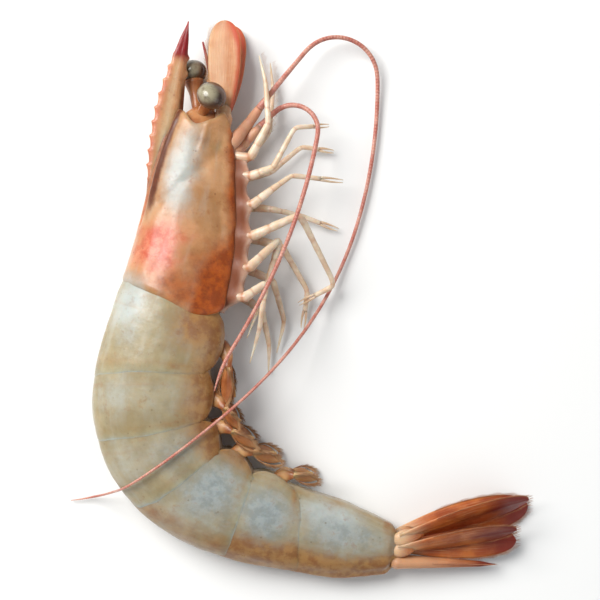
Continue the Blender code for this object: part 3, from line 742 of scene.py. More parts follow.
def shell_look(name, seed, base, second, warm, deep, pale, coral, rose, dark, rim_highlight):
    """Shell with cloudy patches whose borders are broken up, fine streaks, bands and sparse specks, and
    a painted highlight along its outline.
    """
    look = Look(name)
    cloud = look.noise(170.0 + seed, 4.0)
    mottle = look.noise(420.0, 5.0, 0.65)
    fine = look.noise(1100.0)
    amounts = []
    for index, amount in enumerate(look.tints()):
        rough = look.work_out("SUBTRACT", look.noise(260.0 + 110 * index, 5.0, 0.65), 0.5)
        broken = look.work_out("MULTIPLY", rough, look.span(amount, 0.0, 0.35, 0.0, 0.6))
        amounts.append(look.span(look.work_out("ADD", amount, broken), 0.04, 0.88))
    colour = look.blend(base, second, cloud, 0.36, 0.64)
    colour = look.blend(colour, second, look.grain((0.55, 0.7, 0.7), 2.0), 0.50, 0.70, 0.35)
    colour = look.blend(colour, pale, look.grain((0.10, 5.0, 5.0)), 0.45, 0.72, 0.22)
    # The pale colour, where the second tint says, is partly a painted highlight and partly the shell's own
    # cream at its rims.
    colour = look.mix(amounts[1], colour, pale)
    # Warm brown, where the first tint says, is partly painted shade, along the head's lower edge and
    # towards the tail's belly.
    colour = look.mix(amounts[0], colour, look.blend(warm, deep, mottle, 0.38, 0.62))
    # The coral patch, and on the tail a grey-blue patch that is partly a painted cool sheen.
    colour = look.mix(amounts[2], colour, look.blend(coral, rose, mottle, 0.40, 0.60))
    # Dark where the fourth tint says: on the head shell it is painted shade in the groove beside the ridge
    # and along the lower edge.
    colour = look.mix(amounts[3], colour, dark)
    colour = look.blend(colour, deep, mottle, 0.56, 0.72, 0.34)
    # A painted highlight lightens the shell along its outline, where it turns away from view.
    facing = look.add("ShaderNodeLayerWeight", None, {"Blend": 0.35})["Facing"]
    colour = look.blend(colour, rim_highlight, facing, 0.25, 0.85, 0.22)
    sparse = look.span(look.noise(330.0, 2.0), 0.50, 0.66)
    specks = look.work_out("MULTIPLY", look.span(look.cells(700.0), 0.20, 0.10), sparse)
    colour = look.mix(look.work_out("MULTIPLY", specks, 0.40), colour, dark)
    gloss = look.work_out("MULTIPLY", fine, 0.4)
    gloss = look.work_out("ADD", gloss, look.work_out("MULTIPLY", cloud, 0.6))
    normal = look.bump(look.noise(420.0), 0.40, 0.0003)
    normal = look.bump(look.grain((0.6, 9.0, 9.0)), 0.30, 0.00012, normal)
    normal = look.bump(fine, 0.25, 0.0001, normal)
    return look.finish(colour, gloss, (0.26, 0.50), normal, wet_flesh(3.0, 0.45))


def blade_look(name, base, warm, tip, pale):
    """Thin blades with darker ribs. The first tint is the colour of the tip, the second the pale one."""
    look = Look(name)
    cloud = look.noise(240.0, 4.0)
    ribs = look.grain((0.16, 26.0, 0.0), 2.0)
    red, light, _, _ = look.tints()
    reddened = look.work_out("ADD", red, look.work_out("MULTIPLY", cloud, 0.35))
    colour = look.blend(base, warm, cloud, 0.35, 0.65)
    colour = look.blend(colour, pale, ribs, 0.50, 0.70, 0.4)
    colour = look.blend(colour, tip, reddened, 0.35, 1.05)
    colour = look.mix(light, colour, pale)
    normal = look.bump(ribs, 0.4, 0.00018)
    normal = look.bump(look.noise(900.0), 0.2, 0.0001, normal)
    return look.finish(colour, cloud, (0.28, 0.46), normal, wet_flesh(2.2, 0.45))


def limb_look(name, base, second, joint, scatter, rings=0.0):
    """Legs and feelers: clouded, with the joints' colour where the first tint says, and rings if asked."""
    look = Look(name)
    cloud = look.noise(380.0)
    warm, _, _, dark = look.tints()
    colour = look.blend(base, second, cloud, 0.35, 0.65)
    colour = look.blend(colour, joint, warm, 0.0, 1.0)
    colour = look.mix(look.work_out("MULTIPLY", dark, 0.7), colour, LIMB_SHADE)
    normal = look.bump(look.noise(1500.0, 2.0), 0.3, 0.0001)
    if rings:
        along = look.add("ShaderNodeSeparateXYZ", None, {"Vector": look.spot})["X"]
        wave = look.work_out("SINE", look.work_out("MULTIPLY", along, rings), 0.0)
        normal = look.bump(wave, 0.5, 0.00008, normal)
        colour = look.blend(colour, joint, wave, 0.2, 1.0, 0.12)
    return look.finish(colour, cloud, (0.28, 0.45), normal, wet_flesh(scatter, 0.5))


def hair_look(name, base, second):
    look = Look(name)
    cloud = look.noise(500.0, 2.0)
    colour = look.blend(base, second, cloud, 0.35, 0.65)
    return look.finish(colour, cloud, (0.4, 0.55), look.bump(cloud, 0.2, 0.0001), wet_flesh(1.0, 0.3, 0.2))


def eye_look():
    """A black-brown eye of tiny facets under a wet film, with a grey-green sheen on top."""
    look = Look("eye")
    cloud = look.noise(320.0)
    glimmer = look.span(look.noise(700.0), 0.30, 0.56, 0.45, 1.0)
    colour = look.blend(*EYE_COLOURS, cloud, 0.35, 0.65)
    colour = look.mix(look.work_out("MULTIPLY", look.tints()[1], glimmer), colour, EYE_SHEEN)
    film = {"Coat Weight": 0.6, "Coat Roughness": 0.08, "Coat IOR": 1.35}
    return look.finish(colour, cloud, (0.22, 0.36), look.bump(look.cells(3600.0), 0.25, 0.00006), film)


def make_looks():
    looks = {"eye": eye_look()}
    kinds = {shell_look: SHELL_LOOKS, blade_look: BLADE_LOOKS, limb_look: LIMB_LOOKS, hair_look: HAIR_LOOKS}
    for make, rows in kinds.items():
        for key, row in rows.items():
            looks[key] = make(*row)
    return looks


# Head and tail shells


def pad_rows(rows, before, behind):
    """Repeats the first and the last row."""
    return np.pad(rows, ((before, behind), (0, 0)), "edge")


def fold_in(place, grow, front_fold, rear_fold):
    """Adds the rows that fold inwards, so that a shell's edge shows its thickness."""
    steps = np.array([*front_fold, *[(0.0, 0.0)] * len(place), *rear_fold])
    counts = len(front_fold), len(rear_fold)
    return pad_rows(place, *counts) + steps[:, :1], pad_rows(grow, *counts) + steps[:, 1:]


def head_front_edge(turn):
    """The front edge of the head shell: an eye notch, a cheek point and a cut-back lower corner."""
    turn = from_back(turn)
    bends = sum(depth * hump(turn, middle, reach) for depth, middle, reach in (EYE_NOTCH, CHEEK_POINT))
    depth, middle, reach = LOWER_CORNER
    return HEAD_FRONT + bends + depth / (1 + np.exp(-(turn - middle) / reach))


def line_groove(place, turn, start, end, reach):
    """How near each spot is to a straight groove on the shell, from 0 to 1."""
    scale = np.array((1.0, TURN_LENGTH))
    a, b = start * scale, end * scale
    spots = np.stack(np.broadcast_arrays(place, turn), axis=-1) * scale
    t = np.clip(((spots - a) @ (b - a)) / ((b - a) @ (b - a)), 0, 1)
    return hump(np.linalg.norm(spots - (a + t[..., None] * (b - a)), axis=-1), 0, reach)


def head_relief(place, turn):
    """Grooves and ridges of the head shell, outwards in millimetres."""
    turn = from_back(turn)
    return sum(height * line_groove(place, turn, *line) for height, *line in HEAD_LINES)


def head_tints(place, up):
    """Warm brown low and to the rear, a pale painted highlight high in front, a coral patch behind it,
    and painted shade along the lower edge and in the groove beside the ridge.
    """
    warm = most(
        1.40 * hump(place, -1.5, 11.5) * hump(up, -0.60, 0.50),
        0.60 * hump(place, -1.5, 6.0) * fade(up, 0.85, 0.10),
        # The next two are painted shade: warm brown bands along the free lower edge of the shell.
        0.85 * hump(up, -0.86, 0.24) * fade(place, -30, -16),
        0.80 * hump(up, -0.66, 0.19) * fade(place, -39, -35),
        0.30 * hump(up, 0.98, 0.16) * fade(place, -22, -34),
    )
    warm = warm + 0.22 * patches(place, up, 4.0, 7.0)
    # A painted highlight high in front; the cream by the rear edge is the shell's own.
    pale = 0.85 * hump(place, -26.0, 9.4) * hump(up, 0.44, 0.40)
    pale = most(pale, 0.60 * fade(place, -6.0, -1.0) * fade(up, 0.35, 0.75))
    pale = pale + 0.15 * patches(place, up, 5.0, 4.0)
    coral = 0.95 * hump(place, -10.0, 6.4) * hump(up, 0.58, 0.46)
    coral = coral + 0.30 * patches(place, up, 3.0, 5.0) * hump(place, -10.0, 8.0)
    coral = most(coral, 0.45 * fade(up, 0.93, 0.99) * fade(place, -2, -14))
    dark = most(
        # Painted shade in the groove beside the ridge
        0.90 * hump(up, 0.92, 0.07) * fade(place, -12, -22),
        0.35 * hump(place, -33.0, 1.2) * hump(up, 0.10, 0.30),
        # Painted shade along the free lower edge
        0.50 * hump(up, -0.70, 0.10) * fade(place, -38, -34) * fade(place, -12, -20),
    )
    return tints_of(warm, pale, coral, dark)


def build_head(looks):
    turn = np.linspace(0, 360, HEAD_ROUND, endpoint=False)[None]
    below = from_belly(turn)
    steps = np.concatenate([[-0.02], np.linspace(0, 1, HEAD_RINGS)])[:, None]
    front = head_front_edge(turn)
    rear = edge_shift(EDGE_LEANS[0], turn) + 0.4 + HEAD_REAR_BEND * hump(below, 66, 34)
    rear = rear - HEAD_CORNER * fade(below, HEAD_MARGIN + 42, HEAD_MARGIN - 12) ** 1.3
    place = front + (rear - front) * np.clip(steps, 0, 1)
    ahead, behind = place - front, rear - place
    grow = 0.15 * steps + head_relief(place, turn)
    grow = grow + 0.16 * bumps(place, turn, 7.0, 3.0) + 0.05 * bumps(place, turn, 2.4, 9.0)
    # Both edges are rounded off, and a low rim runs beside them.
    grow = grow - 0.20 * hump(ahead, 0, 0.25) - 0.14 * hump(behind, 0, 0.3)
    grow = grow + 0.12 * hump(ahead, 0.8, 0.5) + 0.08 * hump(behind, 0.9, 0.5)
    # The free lower edge stands off the breast, and the shell is tucked in below it.
    margin = HEAD_MARGIN + 2.2 * bumps(place, 0 * turn, 5.0, 6.0)
    flare = HEAD_FLARE * fade(below, margin + 24, margin + 4) * fade(place, -37, -30)
    tuck = fade(below, margin + 0.6, margin - 1.8) * fade(place, -37, -33)
    grow = grow + flare * (1 - tuck) - 0.25 * tuck
    keel = HEAD_KEEL * np.clip(1 - steps * 1.4, 0, None)
    place, grow = fold_in(place, grow, HEAD_FRONT_FOLD, HEAD_REAR_FOLD)
    keel = pad_rows(keel, len(HEAD_FRONT_FOLD), len(HEAD_REAR_FOLD))
    points = body_points(place, turn, grow, HEAD_GROOVE, 0.0, keel)
    spots = body_spots(place, turn)
    bag = Bag()
    bag.add_rings(points, spots, head_tints(place, spots[..., 1]))
    add_snout(bag)
    add_head_flesh(bag)
    materials = [looks["head"], looks["flesh"], looks["snout"]]
    bag.make("head_with_snout", materials, ["head_shell"], "head_shell")


def add_snout(bag):
    """The toothed blade that runs forward from the ridge of the head shell."""
    ahead, tops, bottoms = zip(*SNOUT_ROWS)
    forward = np.linspace(ahead[0], ahead[-1] + 0.5, SNOUT_RINGS)[:, None]
    steps = np.linspace(0, 1, SNOUT_RINGS)[:, None]
    top, bottom = np.interp(forward, ahead, tops), np.interp(forward, ahead, bottoms)
    for _ in range(6):
        for edge in (top, bottom):
            edge[1:-1] = (edge[:-2] + 2 * edge[1:-1] + edge[2:]) / 4
    # A tooth rises slowly from behind and ends in a point that leans forward.
    first, last = TOOTH_PLACES
    beat = ((forward - first) / TOOTH_LENGTH) % 1.0
    saw = TOOTH_HEIGHT * np.where(beat > 0.80, (1 - beat) / 0.20, (beat / 0.80) ** 2.6)
    saw = saw * fade(forward, first - 1, first + 1) * fade(forward, last + 1, last - 1)
    under = 0.5 * (hump(forward, 7.5, 0.7) + hump(forward, 10.8, 0.6))
    half = (SNOUT_THICKNESS + (SNOUT_TIP_THICKNESS - SNOUT_THICKNESS) * steps) / 2
    half = half * fade(steps, 1.015, 0.95)
    turn = round_turns(24)
    c, s = np.cos(turn), np.sin(turn)
    above, beneath = np.clip(c, 0, None), np.clip(-c, 0, None)
    high = (top + bottom) / 2 + (top - bottom) / 2 * c + saw * above**4 - under * beneath**4
    wide = half * s * (1 + 0.45 * hump(c, -0.35, 0.22) + 0.5 * beneath)
    rings = head_spot(*(values[..., None] for values in (forward, high, wide)))
    red = fade(forward, 8.5, 12.5)
    warm = 0.95 * fade(c, -0.35, -0.85) * (1 - red) * fade(forward, 8.0, 2.0)
    pale = 0.60 * hump(c, 0.15, 0.36) * (1 - red)
    coral = 0.55 * fade(c, 0.35, 0.95) * (1 - red)
    bag.add_rings(rings, spots_of(HEAD_FRONT - forward, c, s), tints_of(warm, pale, coral, red), 2)


def add_head_flesh(bag):
    """The soft parts inside the shell's front opening, where the stalks and feelers begin."""
    turn = np.linspace(0, 360, 48, endpoint=False)[None]
    steps = np.linspace(0, 1, 12)[:, None]
    place = -31.5 - 8.6 * steps + 2.2 * fade(from_back(turn), 90, 180)
    grow = -0.55 - 2.9 * steps**3.0 + 0.25 * bumps(place, turn, 3.0, 5.0)
    bag.add_rings(body_points(place, turn, grow, 0.8), body_spots(place, turn), tints_of(0.10), 1)


def lobe_margin(t):
    """The turn from the belly at which the side lobe of a tail shell ends."""
    return LOBE_MARGIN + LOBE_RISE * np.abs(2 * np.clip(t, 0, 1) - 1) ** 2.4


def segment_tints(number, t, place, up):
    """Tan along the seams and the belly side, partly painted shade towards the belly, painted
    highlights high on the flank, and greyer rear segments, partly a painted cool sheen.
    """
    below = np.degrees(np.arccos(np.clip(-up, -1, 1)))
    front, last = number < 4, number == LAST_SEGMENT
    warm = most(
        hump(t, 0.90, 0.06) * (0.25 + 0.30 * fade(-up, -0.2, 0.8)) + 0.20 * hump(t, 0.10, 0.05),
        # Tan towards the belly, partly the shell's own and partly painted shade on the side away from the
        # light
        (0.70 if front else 0.30) * fade(-up, 0.40, 0.95),
        0.28 * hump(t, 0.27, 0.04) * fade(up, -0.6, 0.2),
        (number == 0) * 1.10 * hump(place, 2.0, 8.5) * hump(up, -0.42, 0.42),
        # Partly painted shade towards the belly
        (number < 3) * 0.90 * fade(-up, 0.05, 0.80),
        (number == 3) * 0.50 * fade(up, 0.25, 0.85),
        (not front) * (0.30 * hump(t, 1.0, 0.16) + 0.85 * fade(up, 0.05, 0.70)),
        last * 0.50 * fade(t, 0.76, 1.0),
    )
    warm = warm + 0.16 * patches(place, up, 3.5, 17.0)
    pale = most(
        # The first two are painted highlights high on the flank; the pale rim at the rear edge is the
        # shell's own.
        front * 0.45 * hump(up, 0.60, 0.34) * hump(t, 0.42, 0.45),
        (number == 0) * 0.95 * hump(up, 0.74, 0.26) * hump(t, 0.25, 0.34),
        0.55 * hump(t, 0.985, 0.018),
    )
    # A painted highlight on the last segment
    pale = pale + last * hump(up, -0.45, 0.42) * hump(t, 0.34, 0.32)
    pale = pale + 0.14 * patches(place, up, 4.5, 27.0)
    # A grey-blue translucent patch, partly a painted cool sheen
    grey_and_sheen = (0.25, 0.30, 0.45, 0.85, 0.85, 0.65)[number] * hump(t, 0.48, 0.52) * hump(up, -0.12, 0.58)
    dark = 0.45 * fade(lobe_margin(t) - below, -1.0, 3.0) * (not last)
    return tints_of(warm, pale, grey_and_sheen, dark)


def build_segment(number, looks):
    last = number == LAST_SEGMENT
    front, rear = segment_places()[number : number + 2]
    turn = np.linspace(0, 360, ROUND, endpoint=False)[None]
    hidden = SHELL_RISE_PLACES[0 if number == 0 else 1 : 3]
    t = np.concatenate([hidden, np.linspace(0, 1, LAST_SEGMENT_RINGS if last else SEGMENT_RINGS)])[:, None]
    shift = edge_shift(EDGE_LEANS[number], turn) * (1 - t) + edge_shift(EDGE_LEANS[number + 1], turn) * t
    reach = (0.0 if last else SHELL_OVERLAP) + 0.22 * bumps(0 * turn + 40.0 * number, turn, 3.0, 2.0)
    place = front + (rear - front) * t + shift + reach * fade(t, 0.6, 1.0)
    bulge = np.sin(math.pi * np.clip(t, 0, 1)) ** 0.7
    lobe = 0.02 * bulge if last else LOBE_DEPTH * (bulge - 0.75)
    grow = np.interp(t, SHELL_RISE_PLACES, SHELL_RISES) - 1.3 * last * fade(t, 0.90, 1.0) ** 2
    grow = grow + 0.16 * bumps(place, turn, 6.0, 11.0) + 0.06 * bumps(place, turn, 2.2, 21.0)
    grow = grow + 0.07 * bumps(place * 3.0, turn, 5.0, 31.0) * bulge
    below = from_belly(turn)
    grow = grow - 0.14 * hump(below, 48, 5) * bulge
    if not last:
        # The side lobe of each shell ends in a rounded lower margin, and softer skin lies inside it.
        margin = lobe_margin(t)
        grow = grow - 0.42 * fade(margin - below, -1.5, 2.5) + 0.16 * hump(below - margin, 3.5, 3.0)
    place, grow = fold_in(place, grow, (), SHELL_FOLD)
    lobe = pad_rows(lobe, 0, len(SHELL_FOLD))
    t = np.concatenate([t, np.full((len(SHELL_FOLD), 1), FOLD_SHARE)])
    keel = KEEL_HEIGHT * max(0, number - 2) / 3
    spots = body_spots(place, turn)
    bag = Bag()
    points = body_points(place, turn, grow, belly_groove(number), lobe, keel)
    bag.add_rings(points, spots, segment_tints(number, t, place, spots[..., 1]))
    bag.make(f"tail_segment_{number + 1}", [looks["body"]], [f"abdomen_{number + 1}"], "body_shell")


# Eyes, tail fan and feelers


def build_eyes(looks):
    for name, spot in EYE_SPOTS.items():
        forward, up, side = STALK_SPOT
        base = head_spot(forward, up, math.copysign(side, spot[2]))
        centre = head_spot(*spot)
        centre[2] = max(centre[2], EYE_WIDTH / 2 + 0.05)
        bag = Bag()
        reach = np.linspace(0, 0.80, 14)
        widths = STALK_WIDTH * np.interp(reach, (0, 0.2, 0.5, 0.7, 0.8), (0.8, 0.85, 0.95, 1.35, 1.7))
        add_tube(bag, base + (centre - base) * reach[:, None], widths, 16, 1.0, tints_of(0.4), 1)
        way = unit(centre - base)
        across = unit(np.cross(way, (0.3, 0.2, 1.0)))
        high = np.cross(across, way)
        angle = np.linspace(0.10, math.pi - 0.10, 30)[:, None, None]
        turn = round_turns(40)[:, None]
        radius = EYE_WIDTH / 2 * np.sin(angle) ** 0.92
        rings = centre - way * EYE_LENGTH / 2 * np.cos(angle)
        rings = rings + radius * (across * np.cos(turn) + high * np.sin(turn))
        facing = (rings - centre) / (EYE_WIDTH / 2) @ SHEEN_WAY
        sheen = (0.95 if spot[2] > 0 else 0.60) * fade(facing, 0.42, 0.86)
        bag.add_rings(rings, tints=tints_of(pale=sheen))
        bag.make(f"{name}_and_stalk", [looks["eye"], looks["flesh"]], [name], "eye")


def add_leaf(bag, root, along, across, length, half_width, thickness, camber, ribs, tints, bend=0.0):
    """A thin leaf with ribs. Half_width is a function of the place along it, from 0 to 1."""
    along = unit(along)
    across = unit(np.asarray(across) - along * np.dot(across, along))
    normal = np.cross(along, across)
    t = 1 - (1 - np.linspace(0, 1, LEAF_RINGS)[:, None]) ** 1.5
    w = np.linspace(-1, 1, LEAF_SIDES)
    rib = sum(height * hump(w, at, 0.10) for at, height in ribs) * (1 - 0.6 * t)
    thick = thickness / 2 * (1 - 0.72 * t) * np.sqrt(1 - w * w) + LEAF_EDGE
    rise = bend * t * t - camber * w * w * (0.3 + 0.7 * t)
    middle = root + along * (length * t)[..., None] + across * (half_width(t) * w)[..., None]
    top = middle + normal * (rise + thick + rib)[..., None]
    low = middle + normal * (rise - thick - rib * 0.5)[..., None]
    rings = np.concatenate([top, low[:, ::-1]], axis=1)
    rings[..., 2] = np.maximum(rings[..., 2], LOWEST_LIMB)
    w = np.concatenate([w, w[::-1]])
    bag.add_rings(rings, spots_of(t * length, w), tints(t, w))
    return root, along, across, normal


def add_fringe(bag, leaf, length, half_width, sides, spread, hair_length, count, start=0.3):
    """A row of bristles along the edges of a leaf, which lean towards its tip."""
    root, along, across, normal = leaf
    for side in sides:
        for i in range(count):
            t = start + (1 - start) * (i / (count - 1)) ** 0.85
            narrowing = half_width(max(t - 0.01, 0.0)) - half_width(min(t + 0.01, 1.0))
            slope = np.clip(narrowing / (0.02 * length), 0.0, 3.0)
            edge = root + along * length * min(t, 0.995) + across * side * half_width(t) * 0.96
            way = across * side * (0.55 + spread) + along * (0.55 + slope)
            way = way + normal * 0.12 * math.sin(i * 2.3)
            jitter = 1 + 0.18 * math.sin(i * 12.9898) + 0.1 * math.sin(i * 4.1)
            add_hair(bag, edge, way, hair_length * jitter, HAIR_WIDTH, along * 0.15)


def blade_width(width, tip):
    """Half the width of a blade, as a function. The blade is rounded off from tip on."""

    def half(t):
        reach = 0.34 + 0.66 * np.sin(np.clip(t / 0.6, 0, 1) * math.pi / 2)
        end = np.clip((t - tip) / (1 - tip), 0, 1)
        return width / 2 * reach * np.clip(1 - end**2.4, 0, None) ** 0.5

    return half


def fan_tints(strength):
    def tints(t, w):
        red = strength * fade(t, 0.45, 1.0) + 0.35 * hump(w, 0.1, 0.2) * fade(t, 0.1, 0.5)
        # Pale cream at the base of the blade, partly its own colour and partly a painted highlight
        light = 0.85 * fade(t, 0.26, 0.02) * (0.7 + 0.3 * hump(w, 0.3, 0.5))
        return tints_of(red, light + 0.30 * hump(np.abs(w), 0.97, 0.05) * fade(t, 0.8, 0.2))

    return tints


def scale_tints(t, w):
    red = 0.75 * fade(w, 0.4, 1.0) + 0.5 * fade(t, 0.6, 1.0)
    return tints_of(red, 0.45 * hump(w, -0.3, 0.5) * fade(t, 0.1, 0.4))


def build_telson(looks, base, back):
    """A tapering spike with a groove along its back and a ridge on each side of the groove."""
    way = unit(level_way(TELSON_TURN) - UP * 0.06)
    low = np.cross(way, UP)
    up = np.cross(low, way)
    root = base + back * 3.2 + way * 0.3
    t = np.concatenate([[-0.06], np.linspace(0, 0.995, 40)])[:, None]
    inside = np.clip(t, 0, None)
    neck = np.where(t < 0, 0.75, 1.0)
    half_width = TELSON_WIDTH / 2 * (1 - inside) ** 0.8 * neck
    half_depth = TELSON_DEPTH / 2 * (1 - 0.7 * inside) * np.minimum(1, (1.02 - inside) * 6) * neck
    turn = round_turns(TELSON_SIDES)
    off = np.minimum(np.arange(TELSON_SIDES), TELSON_SIDES - np.arange(TELSON_SIDES))
    dip = 0.5 * hump(off, 0, 2.0) - 0.22 * hump(off, 4.4, 1.4)
    dip = dip * fade(t, -0.02, 0.12) * (1 - 0.6 * inside)
    deep, wide = (half_depth - dip) * np.cos(turn), half_width * np.sin(turn)
    rings = root + way * (TELSON_LENGTH * t)[..., None] + low * deep[..., None] + up * wide[..., None]
    rings[..., 2] = np.maximum(rings[..., 2], LOWEST_LIMB)
    bag = Bag()
    tints = tints_of(0.9 * fade(t, 0.35, 1.0), 0.55 * fade(t, 0.95, 0.15))
    bag.add_rings(rings, spots_of(t * TELSON_LENGTH, np.cos(turn), np.sin(turn)), tints)
    for side in (-1, 1):
        for at in np.linspace(0.35, 0.97, TELSON_HAIRS):
            edge = root + way * TELSON_LENGTH * at + up * side * TELSON_WIDTH / 2 * (1 - at) ** 0.8 * 0.95
            add_hair(bag, edge, way + up * side * 0.7, 1.3, HAIR_WIDTH, way * 0.1)
    bag.make("telson_spike", [looks["fan"], looks["red_hair"]], ["telson"], "tail_fan")


def build_tail(looks):
    end = STATIONS[-1, 0]
    tail, back, right = directions_at(end)
    base = centre_at(end) + tail * (segment_places()[-1] + GAP - end)
    build_telson(looks, base, back)
    for name, (turn, up, side, height, (length, width), across, red, reach, broad) in FAN_BLADES.items():
        root = base + back * up + right * side + tail * 0.3
        along = level_way(math.radians(turn)) + UP * (height - root[2]) / length
        half = blade_width(width, 0.6)
        ribs = OUTER_RIBS if "outer" in name else INNER_RIBS
        bag = Bag()
        leaf = add_leaf(
            bag, root, along, across, length, half, FAN_THICKNESS, FAN_CAMBER, ribs, fan_tints(red)
        )
        add_fringe(bag, leaf, length, half, (-1, 1), -0.1, 0.9, 80)
        # The short joint that carries the blade, drawn out in a lobe over its base
        _, along, _, normal = leaf
        at = np.linspace(0, 1, 24)
        knob = root + along * (-1.6 + reach * at)[:, None] + normal * (0.35 * np.sin(math.pi * at))[:, None]
        widths = broad * np.sin(np.linspace(0.45, math.pi - 0.10, 24)) ** 0.7
        widths = widths * np.interp(at, (0, 0.3, 1), (0.9, 1, 0.7))
        # The lobe's pale cream is partly its own colour and partly a painted highlight.
        tints = tints_of(0.20 * fade(at, 0.6, 1.0), 0.95 * fade(at, 0.80, 0.10))
        add_tube(bag, knob, widths, 20, 0.55, tints)
        bag.make(f"{name}_blade", [looks["fan"], looks["red_hair"]], [name], "tail_fan")


def build_scales(looks):
    """The antennal scales, each with the thick joint that carries it."""
    for tag, spot, turn, slope, across in SCALES:
        along = level_way(math.radians(turn)) + UP * slope
        root = head_spot(*spot) - along * SCALE_SINK
        half = blade_width(SCALE_WIDTH, 0.7)
        length = SCALE_LENGTH + SCALE_SINK
        bag = Bag()
        leaf = add_leaf(
            bag, root, along, across, length, half, SCALE_THICKNESS, SCALE_CAMBER, SCALE_RIBS, scale_tints
        )
        t = np.linspace(0, 1, 18)
        line = root + leaf[1] * (-3.2 + 6.2 * t)[:, None] + UP * (0.35 - 0.5 * t)[:, None]
        widths = 3.9 * np.interp(t, (0, 0.12, 0.45, 0.62, 0.85, 1.0), (0.3, 0.75, 1.0, 0.86, 0.80, 0.25))
        add_tube(bag, line, widths, 18, 0.85, tints_of(0.25 * hump(t, 0.6, 0.08), 0.25))
        add_fringe(bag, leaf, SCALE_LENGTH, half, (-1,), 0.1, 1.2, 60)
        name = f"antennal_scale_{tag}"
        bag.make(f"{name}_leaf", [looks["scale"], looks["hair"]], [name], "antennal_scale")


def build_inner_feelers(looks):
    """Each inner feeler has three thick joints and two short whips."""
    for tag, spot, turn, reach in ANTENNULES:
        angle = math.radians(turn)
        way = level_way(angle)
        root = head_spot(*spot) - way * ANTENNULE_SINK
        reach = reach + ANTENNULE_SINK
        t = np.linspace(0, 0.62, 26)
        line = root + way * reach * t[:, None] - UP * ANTENNULE_SAG * t[:, None] ** 2
        joints = 1 - 0.28 * sum(hump(t, at, 0.018) for at in (0.2, 0.36, 0.52))
        widths = np.interp(t, (0, 0.1, 0.4, 0.62), (1.9, 2.1, 1.8, 1.1)) * joints
        bag = Bag()
        add_tube(bag, line, widths, 14, 0.9, tints_of(1 - joints))
        for lean in (0.04, 0.26):
            t = np.linspace(WHIPS_START, 1.0, 20)[:, None]
            line = root + way * reach * WHIPS_START + level_way(angle + lean) * reach * (t - WHIPS_START)
            line = line - UP * ANTENNULE_SAG * t**2
            add_tube(bag, line, np.linspace(1.0, 0.4, 20), 8, 1.0, tints_of(dark=1.0), 1)
        bag.make(f"antennule_{tag}_whips", [looks["scale"], looks["snout"]], [f"antennule_{tag}"], "feeler")


def plan_line(start, bends, spacing=2.2):
    """A line in plan made of arcs, each with a turn and a length."""
    points = [np.array((start[0] - MIDDLE[0], start[1] - MIDDLE[1]))]
    way = math.radians(start[2])
    for turn, length in bends:
        count = max(2, int(length / spacing), int(abs(turn) / 14))
        for _ in range(count):
            way += math.radians(turn) / count / 2
            points.append(points[-1] + length / count * level_way(way)[:2])
            way += math.radians(turn) / count / 2
    return np.array(points)


def height_of_body(x, y):
    """The height of the upper flank of the body over a point in plan, or zero beside the body."""
    places = np.linspace(*FLANK_REACH, FLANK_COUNT)
    centres = centre_at(places)
    nearest = int(np.argmin(np.hypot(centres[:, 0] - x, centres[:, 1] - y)))
    centre, place = centres[nearest], places[nearest]
    _, back, _ = directions_at(place)
    offset = abs((x - centre[0]) * back[0] + (y - centre[1]) * back[1])
    half_depth = float(curve_through(DEPTH, place)) / 2 + FLANK_ROOM
    half_width = float(curve_through(WIDTH, place)) / 2 + FLANK_ROOM
    if offset >= half_depth:
        return 0.0
    return centre[2] + half_width * math.sqrt(1 - (offset / half_depth) ** FLANK_POWER)


def build_long_feelers(looks):
    for tag, start, bends, heights, sink in LONG_FEELERS:
        plan = plan_line(start, bends)
        lengths = distances_along(plan)
        places, rooms = FEELER_ROOM
        widths = np.interp(lengths, (*places, lengths[-1]), (*rooms, FEELER_TIP_WIDTH))
        over = [height_of_body(x, y) + width / 2 + GAP for (x, y), width in zip(plan, widths)]
        tall = np.maximum(np.interp(lengths, *heights), over)
        for _ in range(2):
            tall[1:-1] = np.maximum(tall[1:-1], (tall[:-2] + tall[2:]) / 2)
        line = smooth_line(np.column_stack([plan, tall]))
        way = unit(line[1] - line[0])
        line[:, 2] -= sink * fade(distances_along(line), 11.0, 2.0)
        sunk = [line[0] - way * 4.2 - UP * 1.2, line[0] - way * 2.0 - UP * 0.5]
        line = resample(smooth_line(np.concatenate([sunk, line])), int(lengths[-1] / 0.6))
        lengths = distances_along(line)
        joints = sum(hump(lengths, at, 0.3) for at in FEELER_JOINTS)
        widths = np.interp(lengths, FEELER_PLACES, FEELER_WIDTHS) * (1 - JOINT_DEPTH * joints)
        widths = widths * np.interp(lengths[-1] - lengths, (0, 5), (0.3, 1))
        stout, thin = lengths < STOUT_END, lengths > STOUT_END - 1.2
        bag = Bag()
        add_tube(bag, line[stout], widths[stout], 14, 1.0, tints_of(0.55 + 0.30 * joints[stout], 0.45), 1)
        add_tube(bag, line[thin], widths[thin] * 0.96, 14)
        bag.make(f"antenna_{tag}_whip", [looks["feeler"], looks["scale"]], [f"antenna_{tag}"], "feeler")


# Breast and legs


